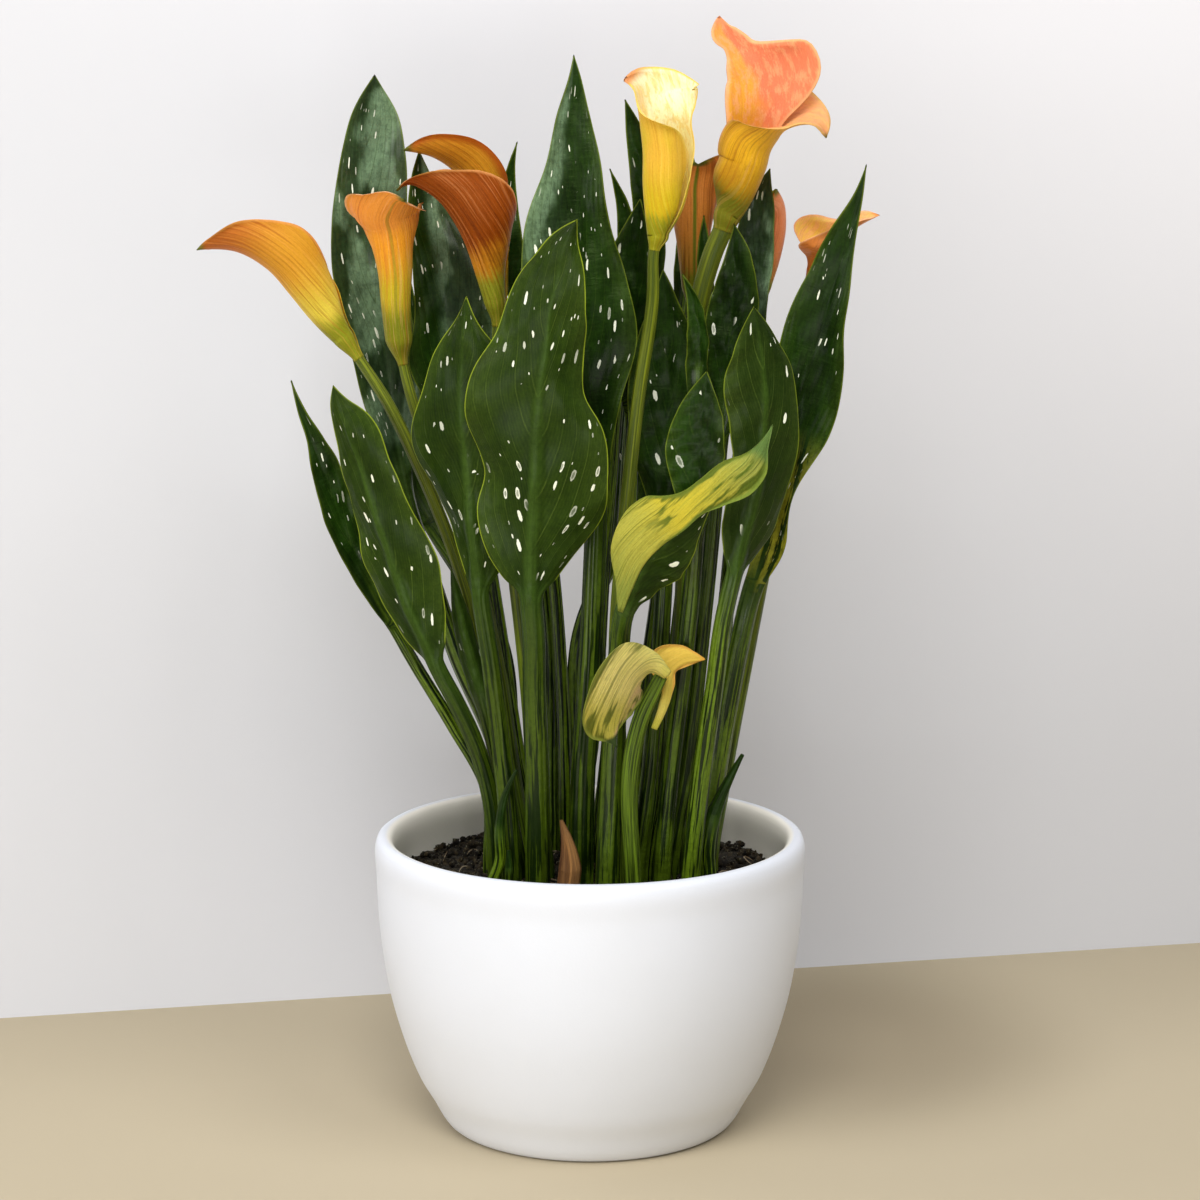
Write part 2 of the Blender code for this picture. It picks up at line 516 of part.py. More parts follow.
def smooth(rows, where):
    """A curve through hand-picked rows (x, y, z, then any further columns), read at the given
    fractions of its length, and its unit direction there. Catmull-Rom pieces, timed by the
    distance between the rows."""
    rows = np.array(rows, float)
    gaps = np.linalg.norm(np.diff(rows[:, :3], axis=0), axis=1) ** 0.8
    knots = np.concatenate([[0.0], np.cumsum(gaps)])
    steps = np.diff(rows, axis=0) / gaps[:, None]
    slopes = np.empty_like(rows)
    slopes[1:-1] = (steps[:-1] * gaps[1:, None] + steps[1:] * gaps[:-1, None]) / (
        gaps[1:] + gaps[:-1]
    )[:, None]
    slopes[0] = 1.5 * steps[0] - 0.5 * slopes[1]
    slopes[-1] = 1.5 * steps[-1] - 0.5 * slopes[-2]

    def at(t):
        i = np.clip(np.searchsorted(knots, t, side="right") - 1, 0, len(gaps) - 1)
        h = gaps[i][:, None]
        u = (t - knots[i])[:, None] / h
        return (
            (2 * u**3 - 3 * u**2 + 1) * rows[i]
            + (u**3 - 2 * u**2 + u) * h * slopes[i]
            + (3 * u**2 - 2 * u**3) * rows[i + 1]
            + (u**3 - u**2) * h * slopes[i + 1]
        )

    fine = np.linspace(0, knots[-1], 500)
    run = np.linalg.norm(np.diff(at(fine)[:, :3], axis=0), axis=1)
    run = np.concatenate([[0.0], np.cumsum(run)])
    t = np.interp(np.asarray(where) * run[-1], run, fine)
    step = knots[-1] * 0.004
    ahead, behind = at(np.minimum(t + step, knots[-1])), at(np.maximum(t - step, 0))
    along = ahead[:, :3] - behind[:, :3]
    return at(t), along / np.linalg.norm(along, axis=1, keepdims=True)


def fraction_of(rows, row):
    """How far along the curve one of its rows lies, as a fraction of its length."""
    rows = np.array(rows, float)[:, :3]
    run = np.cumsum(np.linalg.norm(np.diff(rows, axis=0), axis=1))
    return float(run[row - 1] / run[-1]) if row else 0.0


def axes_along(along, roll):
    """Unit vectors across a path and up out of it, carried along it without twisting. With a
    roll of 0 the across vector starts in the front view's plane and up points to the front."""
    across = np.empty_like(along)
    last = np.cross(np.array([0.0, 1.0, 0.0]), along[0])
    for i, way in enumerate(along):
        last = last - (last @ way) * way
        last = last / np.linalg.norm(last)
        across[i] = last
    front = np.cross(across, along)
    turn = np.radians(roll)[:, None]
    cos, sin = np.cos(turn), np.sin(turn)
    return across * cos + front * sin, front * cos - across * sin


def sheet(rows, along, c, side, tuck=0.0, flare=0.0, wave=(0, 1, 0)):
    """Middle surface and normals of a thin sheet that curls about a path. A row is x, y, z,
    left and right half-width, curl, roll and, for a bloom, lean: across the path the sheet is
    an arc with that half-angle, of which lean gives more to the right edge and less to the
    left. Tuck turns the arc into a spiral so that its edges pass each other."""
    left, right, curl, roll = rows[:, 3:7].T
    lean = rows[:, 7:8] if rows.shape[1] > 7 else np.zeros((len(rows), 1))
    across, up = axes_along(along, roll)
    up = up * side
    c = np.asarray(c)[None, :]
    half = np.maximum(np.where(c < 0, left[:, None], right[:, None]), 0.15)
    bend = np.maximum(np.radians(curl), 0.02)[:, None] * (1 + lean * np.sign(c))
    radius, angle, swell = half / bend, bend * c, 1 + tuck * c
    x = radius * swell * np.sin(angle)
    y = radius * (1 - swell * np.cos(angle))
    s = np.linspace(0, 1, len(rows))[:, None]
    amount, turns, phase = wave
    y = y + amount * c**2 * np.sin(2 * np.pi * (turns * s + phase) + 1.3 * c) * np.minimum(1, half / 14)
    y = y - flare * half * np.maximum(0, np.abs(c) - 0.5) ** 2
    middle = rows[:, None, :3] + x[..., None] * across[:, None] + y[..., None] * up[:, None]
    normal = np.cross(np.gradient(middle, axis=1), np.gradient(middle, axis=0))
    normal /= np.maximum(np.linalg.norm(normal, axis=2, keepdims=True), 1e-9)
    centre = normal[:, normal.shape[1] // 2]
    normal *= np.sign((centre * up).sum(1))[:, None, None]
    return middle, normal


def thicken(middle, normal, upper, lower):
    """Closed rings round a sheet: its upper side from left to right, then its lower side back."""
    return np.concatenate(
        [middle + normal * upper[..., None], (middle - normal * lower[..., None])[:, ::-1]], axis=1
    )


def round_rings(centres, along, roll, radius, count, side=1):
    """Rings of a round stem, its points placed as thicken() places those of a sheet."""
    across, up = axes_along(along, roll)
    angle = np.pi - (np.arange(count) + 0.5) * 2 * np.pi / count
    x, y = np.cos(angle), np.sin(angle) * side
    spread = x[:, None] * across[:, None] + y[:, None] * up[:, None]
    return centres[:, None] + np.asarray(radius)[:, None, None] * spread


def loft(rings, tip=None):
    """Points and triangles of a closed skin over rings, pointed at the tip if one is given."""
    count, size = rings.shape[:2]
    points = rings.reshape(-1, 3)
    i, j = np.meshgrid(np.arange(count - 1), np.arange(size), indexing="ij")
    a, b = i * size + j, i * size + (j + 1) % size
    c, d = a + size, b + size
    # Both sides of a sheet take the same diagonal, so that it stays as thick as it is.
    mirrored = (j >= size // 2)[..., None]
    first = np.where(mirrored, np.stack([a, b, c], -1), np.stack([a, b, d], -1))
    second = np.where(mirrored, np.stack([b, d, c], -1), np.stack([a, d, c], -1))
    faces = [first.reshape(-1, 3), second.reshape(-1, 3)]
    k = np.arange(size // 2 - 1)
    a, b, c, d = k, k + 1, size - 2 - k, size - 1 - k
    start = np.concatenate([np.stack([a, c, b], -1), np.stack([a, d, c], -1)])
    faces.append(start)
    if tip is None:
        faces.append(start[:, ::-1] + (count - 1) * size)
    else:
        points = np.concatenate([points, [tip]])
        j = np.arange(size)
        last = (count - 1) * size
        faces.append(np.stack([last + j, last + (j + 1) % size, np.full(size, len(points) - 1)], -1))
    faces = np.concatenate(faces)
    corner = points[faces]
    if np.einsum("ij,ij->", corner[:, 0], np.cross(corner[:, 1], corner[:, 2])) < 0:
        faces = faces[:, ::-1]
    return points, faces


def leaf_mesh(stem, blade, side, wave, across, stem_rings, blade_rings):
    """A leaf in one piece: its round stem flattens and widens into the blade, which ends in a
    point. A stem row is x, y, z, radius; a blade row x, y, z, left, right, curl, roll."""
    roll = blade[0][6]
    rows = [(x, y, z, r, r, STEM_CURL, roll) for x, y, z, r in stem] + list(blade)
    start = fraction_of(rows, len(stem))
    where = np.concatenate(
        [
            [0.0],
            np.linspace(fraction_of(rows, 2), start, stem_rings - 1, endpoint=False),
            start + (1 - start) * (1 - (1 - np.linspace(0, 1, blade_rings + 1)) ** 1.15)[:-1],
        ]
    )
    where = np.append(where, min(LAST_RING, (1 + where[-1]) / 2))
    path, along = smooth(rows, where)
    wide = np.maximum(path[:, 3], path[:, 4])
    radius = np.interp(where, [0, start, 1], [stem[0][3], stem[-1][3], EDGE])
    flat = np.maximum.accumulate(np.clip((wide / radius - 1.05) / 1.6, 0, 1))
    path[:, 3:5] = np.maximum(path[:, 3:5], EDGE * 0.6)
    c = np.linspace(-1, 1, across)
    middle, normal = sheet(path, along, c, side, wave=wave)
    upper = np.full(middle.shape[:2], EDGE / 2)
    fade = np.interp(where, [0, start, 1], [1, 1, 0])[:, None]
    bulge = np.maximum(0, 1 - np.abs(c[None, :]) * 2)
    lower = EDGE / 2 + np.minimum(RIB, wide[:, None] * 0.3) * fade * bulge
    blade_shape = thicken(middle, normal, upper, lower)
    stem_shape = round_rings(path[:, :3], along, path[:, 6], radius, 2 * across, side)
    mix = flat[:, None, None]
    rings = stem_shape * (1 - mix) + blade_shape * mix
    return loft(rings, tip=np.array(blade[-1][:3], float))


def spathe_grid(rows, side, across, rings, tuck, flare):
    """The middle surface of a bloom's coloured sheet: rolled into a funnel whose edges pass
    each other, laid along its own back line. The last row is its pointed tip."""
    where = np.linspace(0, 1, rings + 1)[:-1]
    where = np.append(where, min(0.99, (1 + where[-1]) / 2))
    path, along = smooth(rows, where)
    path[:, 3:5] = np.maximum(path[:, 3:5], 0.5)
    tucks = tuck * np.clip((path[:, 5] - 120) / 60, 0, 1)[:, None]
    middle, _ = sheet(path, along, np.linspace(-1, 1, across), side, tucks, flare)
    return middle


def tube_line(rows, side, where, radii):
    """The middle line of a spathe's tube as rows of x, y, z, radius, for the stalk inside it.
    It starts a little below the tube, in line with it."""
    path, along = smooth(rows, where)
    _, up = axes_along(along, path[:, 6])
    middle = path[:, :3] + up * side * (path[:, 3] / np.radians(path[:, 5]))[:, None]
    way = middle[1] - middle[0]
    below = middle[0] - way / np.linalg.norm(way) * NECK_BELOW
    return [(*below, radii[0])] + [(*point, radius) for point, radius in zip(middle, radii)]


def in_soil(root):
    """The straight foot of a stem, as rows of x, y, z, radius."""
    x, y, radius = root
    middle = (STEM_FOOT + STEM_FREE) / 2
    return [(x, y, z, radius) for z in (STEM_FOOT, middle, STEM_FREE)]


def new_material(name, colour, rough):
    material = bpy.data.materials.new(name)
    material.use_nodes = True
    shader = material.node_tree.nodes["Principled BSDF"]
    shader.inputs["Base Color"].default_value = (*colour, 1)
    shader.inputs["Roughness"].default_value = rough
    material.diffuse_color = (*colour, 1)
    return material


def add_object(name, data, colour, rough):
    """An object with a material of its own. Its data is in metres."""
    data.materials.append(new_material(name, colour, rough))
    obj = bpy.data.objects.new(name, data)
    bpy.context.scene.collection.objects.link(obj)
    return obj


def mesh_of(name, points, faces):
    mesh = bpy.data.meshes.new(name)
    mesh.from_pydata((np.asarray(points) * MM).tolist(), [], np.asarray(faces).tolist())
    mesh.shade_smooth()
    return mesh


def mesh_from(name, bm):
    mesh = bpy.data.meshes.new(name)
    bm.to_mesh(mesh)
    bm.free()
    mesh.shade_smooth()
    mesh.set_sharp_from_angle(angle=np.radians(50))
    return mesh


def turned(profile, sides):
    """A bmesh of a closed turned body. The profile starts and ends on the axis."""
    bm = bmesh.new()
    line = [bm.verts.new((r * MM, 0, z * MM)) for r, z in profile]
    edges = [bm.edges.new(pair) for pair in zip(line, line[1:])]
    bmesh.ops.spin(
        bm,
        geom=line + edges,
        cent=(0, 0, 0),
        axis=(0, 0, 1),
        angle=2 * np.pi,
        steps=sides,
        use_merge=True,
    )
    bmesh.ops.remove_doubles(bm, verts=bm.verts, dist=1e-6)
    bmesh.ops.recalc_face_normals(bm, faces=bm.faces)
    return bm


def add_pot():
    add_object("pot", mesh_from("pot", turned(POT_PROFILE, POT_SIDES)), POT_WHITE, POT_ROUGH)


def add_soil(roots):
    """The soil as one plug with a lumpy top, and a plain hole for each stem."""
    bm = turned(SOIL_PROFILE, POT_SIDES)
    for vert in bm.verts:
        x, y, z = (v / MM for v in vert.co)
        if z > SOIL_TOP and np.hypot(x, y) < SOIL_EDGE:
            waves = [np.sin(east * x + north * y + start) for east, north, start in LUMP_WAVES]
            vert.co.z += LUMP * sum(waves) * MM
    soil = add_object("soil", mesh_from("soil", bm), SOIL_BROWN, SOIL_ROUGH)

    bm = bmesh.new()
    height = HOLE_TOP - HOLE_BOTTOM
    for x, y, radius in roots:
        wide = (radius + HOLE_CLEAR) / np.cos(np.pi / HOLE_SIDES) * MM
        place = Matrix.Translation((x * MM, y * MM, (HOLE_BOTTOM + height / 2) * MM))
        bmesh.ops.create_cone(
            bm,
            cap_ends=True,
            segments=HOLE_SIDES,
            radius1=wide,
            radius2=wide,
            depth=height * MM,
            matrix=place,
        )
    holes = add_object("holes", mesh_from("holes", bm), SOIL_BROWN, SOIL_ROUGH)
    holes.hide_render = True
    holes.display_type = "WIRE"
    cut = soil.modifiers.new("holes", "BOOLEAN")
    cut.operation = "DIFFERENCE"
    cut.solver = "EXACT"
    cut.object = holes


def add_leaf(name):
    grain, side, wave, root, stem, blade = LEAVES[name]
    points, faces = leaf_mesh(in_soil(root) + stem, blade, side, wave, *LEAF_GRAIN[grain])
    add_object(name, mesh_of(name, points, faces), LEAF_COLOURS.get(name, LEAF_GREEN), LEAF_ROUGH)


def add_stalk(name, rows, rings=STALK_RINGS):
    """A round stalk: a curve with a bevel whose radius follows the rows."""
    above = np.linspace(fraction_of(rows, 2), 1, rings - 1)
    path, _ = smooth(rows, np.append(0, above))
    curve = bpy.data.curves.new(name, "CURVE")
    curve.dimensions = "3D"
    curve.bevel_depth = MM
    curve.bevel_resolution = CURVE_SIDES
    curve.use_fill_caps = True
    line = curve.splines.new("POLY")
    line.points.add(rings - 1)
    for point, (x, y, z, radius) in zip(line.points, path):
        point.co = (x * MM, y * MM, z * MM, 1)
        point.radius = radius
    add_object(name, curve, STALK_GREEN, STALK_ROUGH)


def add_sheet(name, rows, side, grain, tuck, flare, colour):
    """A coloured sheet: its middle surface, closed at the tip, made EDGE thick by Solidify."""
    across, rings = grain
    grid = spathe_grid(rows, side, across, rings, tuck, flare)
    points = [*grid.reshape(-1, 3), rows[-1][:3]]
    tip = len(points) - 1
    faces = []
    for i in range(len(grid) - 1):
        for j in range(across - 1):
            a, b = i * across + j, i * across + j + 1
            faces += [(a, b, b + across), (a, b + across, a + across)]
    last = tip - across
    faces += [(last + j, last + j + 1, tip) for j in range(across - 1)]
    obj = add_object(name, mesh_of(name, points, faces), colour, SHEET_ROUGH)
    thick = obj.modifiers.new("thickness", "SOLIDIFY")
    thick.thickness = EDGE * MM
    thick.offset = 0


def add_bloom(name):
    """A stalk that ends as the spadix inside the bloom, and the spathe rolled round it."""
    flare, root, stalk, rows = BLOOMS[name]
    rows = [
        (x, y, z, half * (1 - lean), half * (1 + lean), curl, roll, lean)
        for x, y, z, half, curl, roll, lean in rows
    ]
    neck = stalk[-1][3]
    if name in SHORT_SPADIX:
        inside = tube_line(rows, 1, [0, SHORT_SPADIX_AT], [neck, SPADIX_RADII[0]])
    else:
        inside = tube_line(rows, 1, [0, *SPADIX_AT], [neck * NECK_FIT, *SPADIX_RADII])
    add_stalk(name + "_stalk", in_soil(root) + stalk + inside)
    add_sheet(name + "_spathe", rows, 1, SPATHE_GRAIN, SPATHE_TUCK, flare, BLOOM_COLOURS[name])


def main():
    for obj in list(bpy.data.objects):
        bpy.data.objects.remove(obj)
    for name in LEAVES:
        add_leaf(name)
    for name in BLOOMS:
        add_bloom(name)
    add_stalk("bloom_11_stalk", in_soil(OLD_ROOT) + OLD_STALK, OLD_STALK_RINGS)
    for name, (side, rows) in LOOSE_SHEETS.items():
        add_sheet(name, rows, side, LOOSE_GRAIN, LOOSE_TUCK, 0, SHEET_COLOURS[name])
    roots = [leaf[3] for leaf in LEAVES.values()] + [bloom[1] for bloom in BLOOMS.values()]
    add_soil([*roots, OLD_ROOT])
    add_pot()


main()
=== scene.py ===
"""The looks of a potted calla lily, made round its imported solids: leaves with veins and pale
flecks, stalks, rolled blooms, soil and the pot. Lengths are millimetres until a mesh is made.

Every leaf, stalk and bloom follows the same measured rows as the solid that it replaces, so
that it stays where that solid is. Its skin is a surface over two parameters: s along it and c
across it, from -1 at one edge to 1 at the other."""

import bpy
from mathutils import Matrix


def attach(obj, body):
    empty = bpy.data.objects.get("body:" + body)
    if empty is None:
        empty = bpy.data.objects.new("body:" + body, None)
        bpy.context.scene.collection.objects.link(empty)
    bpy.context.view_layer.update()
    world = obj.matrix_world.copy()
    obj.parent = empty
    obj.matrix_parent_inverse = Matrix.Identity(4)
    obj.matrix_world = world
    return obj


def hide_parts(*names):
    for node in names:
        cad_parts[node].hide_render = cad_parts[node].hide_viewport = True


bl_info = {
    "name": "Potted calla lily",
    "version": (1, 0),
    "blender": (4, 5, 0),
    "location": "View3D > Sidebar > Calla lily",
    "description": "Grows the leaves, blooms, soil and pot of a potted calla lily round its frame",
    "category": "Add Mesh",
}

import bpy
import numpy as np
from mathutils import Vector

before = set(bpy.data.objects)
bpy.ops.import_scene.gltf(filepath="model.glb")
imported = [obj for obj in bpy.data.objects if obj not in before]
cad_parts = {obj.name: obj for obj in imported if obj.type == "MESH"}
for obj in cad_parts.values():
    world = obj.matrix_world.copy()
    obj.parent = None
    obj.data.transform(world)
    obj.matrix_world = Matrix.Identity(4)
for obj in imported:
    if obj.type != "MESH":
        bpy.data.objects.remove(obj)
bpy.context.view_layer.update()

MM = 0.001

# Sizes that the solids share, in millimetres: the thickness of a blade, how far its midrib stands
# out, where a stem starts in the soil and comes free of it, how far a bloom's edges pass each
# other, how a stalk meets its tube, and the spadix, as fractions of the sheet and radii there.
EDGE = 0.8
RIB = 2.2
STEM_CURL = 60
LAST_RING = 0.997
STEM_FOOT, STEM_FREE = 96.0, 120.0
SPATHE_TUCK = 0.15
LOOSE_TUCK = 0.1
NECK_BELOW = 7.0
NECK_FIT = 0.85
SPADIX_AT = [0.06, 0.12, 0.2, 0.3, 0.38]
SPADIX_RADII = [2.2, 2.0, 2.0, 1.8, 1.2]
SHORT_SPADIX_AT = 0.03
SHORT_SPADIX = ("bloom_06", "bloom_09")

# Only in the looks: the collar that draws a tube in onto its stalk, its length and rings, how far
# a bloom's edge turns out, and where the seeds of the loose sheets start.
NECK_LENGTH = 13.0
SHORT_NECKS = {"bloom_05": 7.0, "bloom_06": 8.0}
NECK_RINGS = 14
LIP = 1.8
LOOSE_ORDER = 20

# How finely the skins are divided: points across one face, rings in the stem, rings in the blade.
LEAF_GRAIN = {
    "long": (49, 44, 130), "large": (49, 40, 120), "small": (33, 30, 80), "tiny": (17, 16, 40),
}
SPATHE_GRAIN = (61, 84)
LOOSE_GRAIN = (41, 60)
STALK_GRAIN = (28, 120)
POT_RINGS, POT_SIDES = 150, 192
SOIL_RINGS, SOIL_SIDES = 60, 150
ROOT_STEPS, ROOT_SIDES = 14, 6

# Camera, found from the pot's rim and foot in the photograph, in millimetres, metres and radians.
LENS = 93.63
SENSOR = 36.0
CAMERA_PLACE = (0.0047, -1.42, 0.4915)
LOOKS_DOWN = 0.17

# Pot: outside, lip and inside as radius and height, from the middle of the underside round to
# the middle of the floor inside. Its inside carries painted light, a brighter and warmer white, within
# and above these limits.
POT_PROFILE = [
    (0, 0), (65, 0), (67.4, 0.9), (69.6, 3.4), (75, 13), (80.3, 22), (85.2, 33.5), (89.1, 45),
    (93.5, 61), (96.8, 79), (98.9, 99), (99.8, 120), (100, 133.9), (98.8, 136.8), (95.9, 138),
    (93, 136.8), (91.8, 133.9), (91.5, 118), (89.8, 92), (86, 73), (80.5, 56), (72, 35),
    (62, 20), (48, 11), (0, 11),
]
PAINTED_LIGHT_WITHIN = 93.5, 96
PAINTED_LIGHT_ABOVE = 100, 110

# Soil: the radius and height of its top, the rows of its hidden underside, the number of waves on
# its top and the turn in radians from one wave to the next.
SOIL_RADIUS = 91.2
SOIL_TOP = 118.4
SOIL_UNDER = [(0, 60), (40, 60), (78, 60)]
SOIL_WAVES = 25
GOLDEN_TURN = 2.399963


def tint(red, green, blue):
    """A colour given as 0 to 255 on a screen, as the linear values that a shader takes."""
    share = np.array([red, green, blue]) / 255
    linear = np.where(share <= 0.04045, share / 12.92, ((share + 0.055) / 1.055) ** 2.4)
    return tuple(float(v) for v in linear)


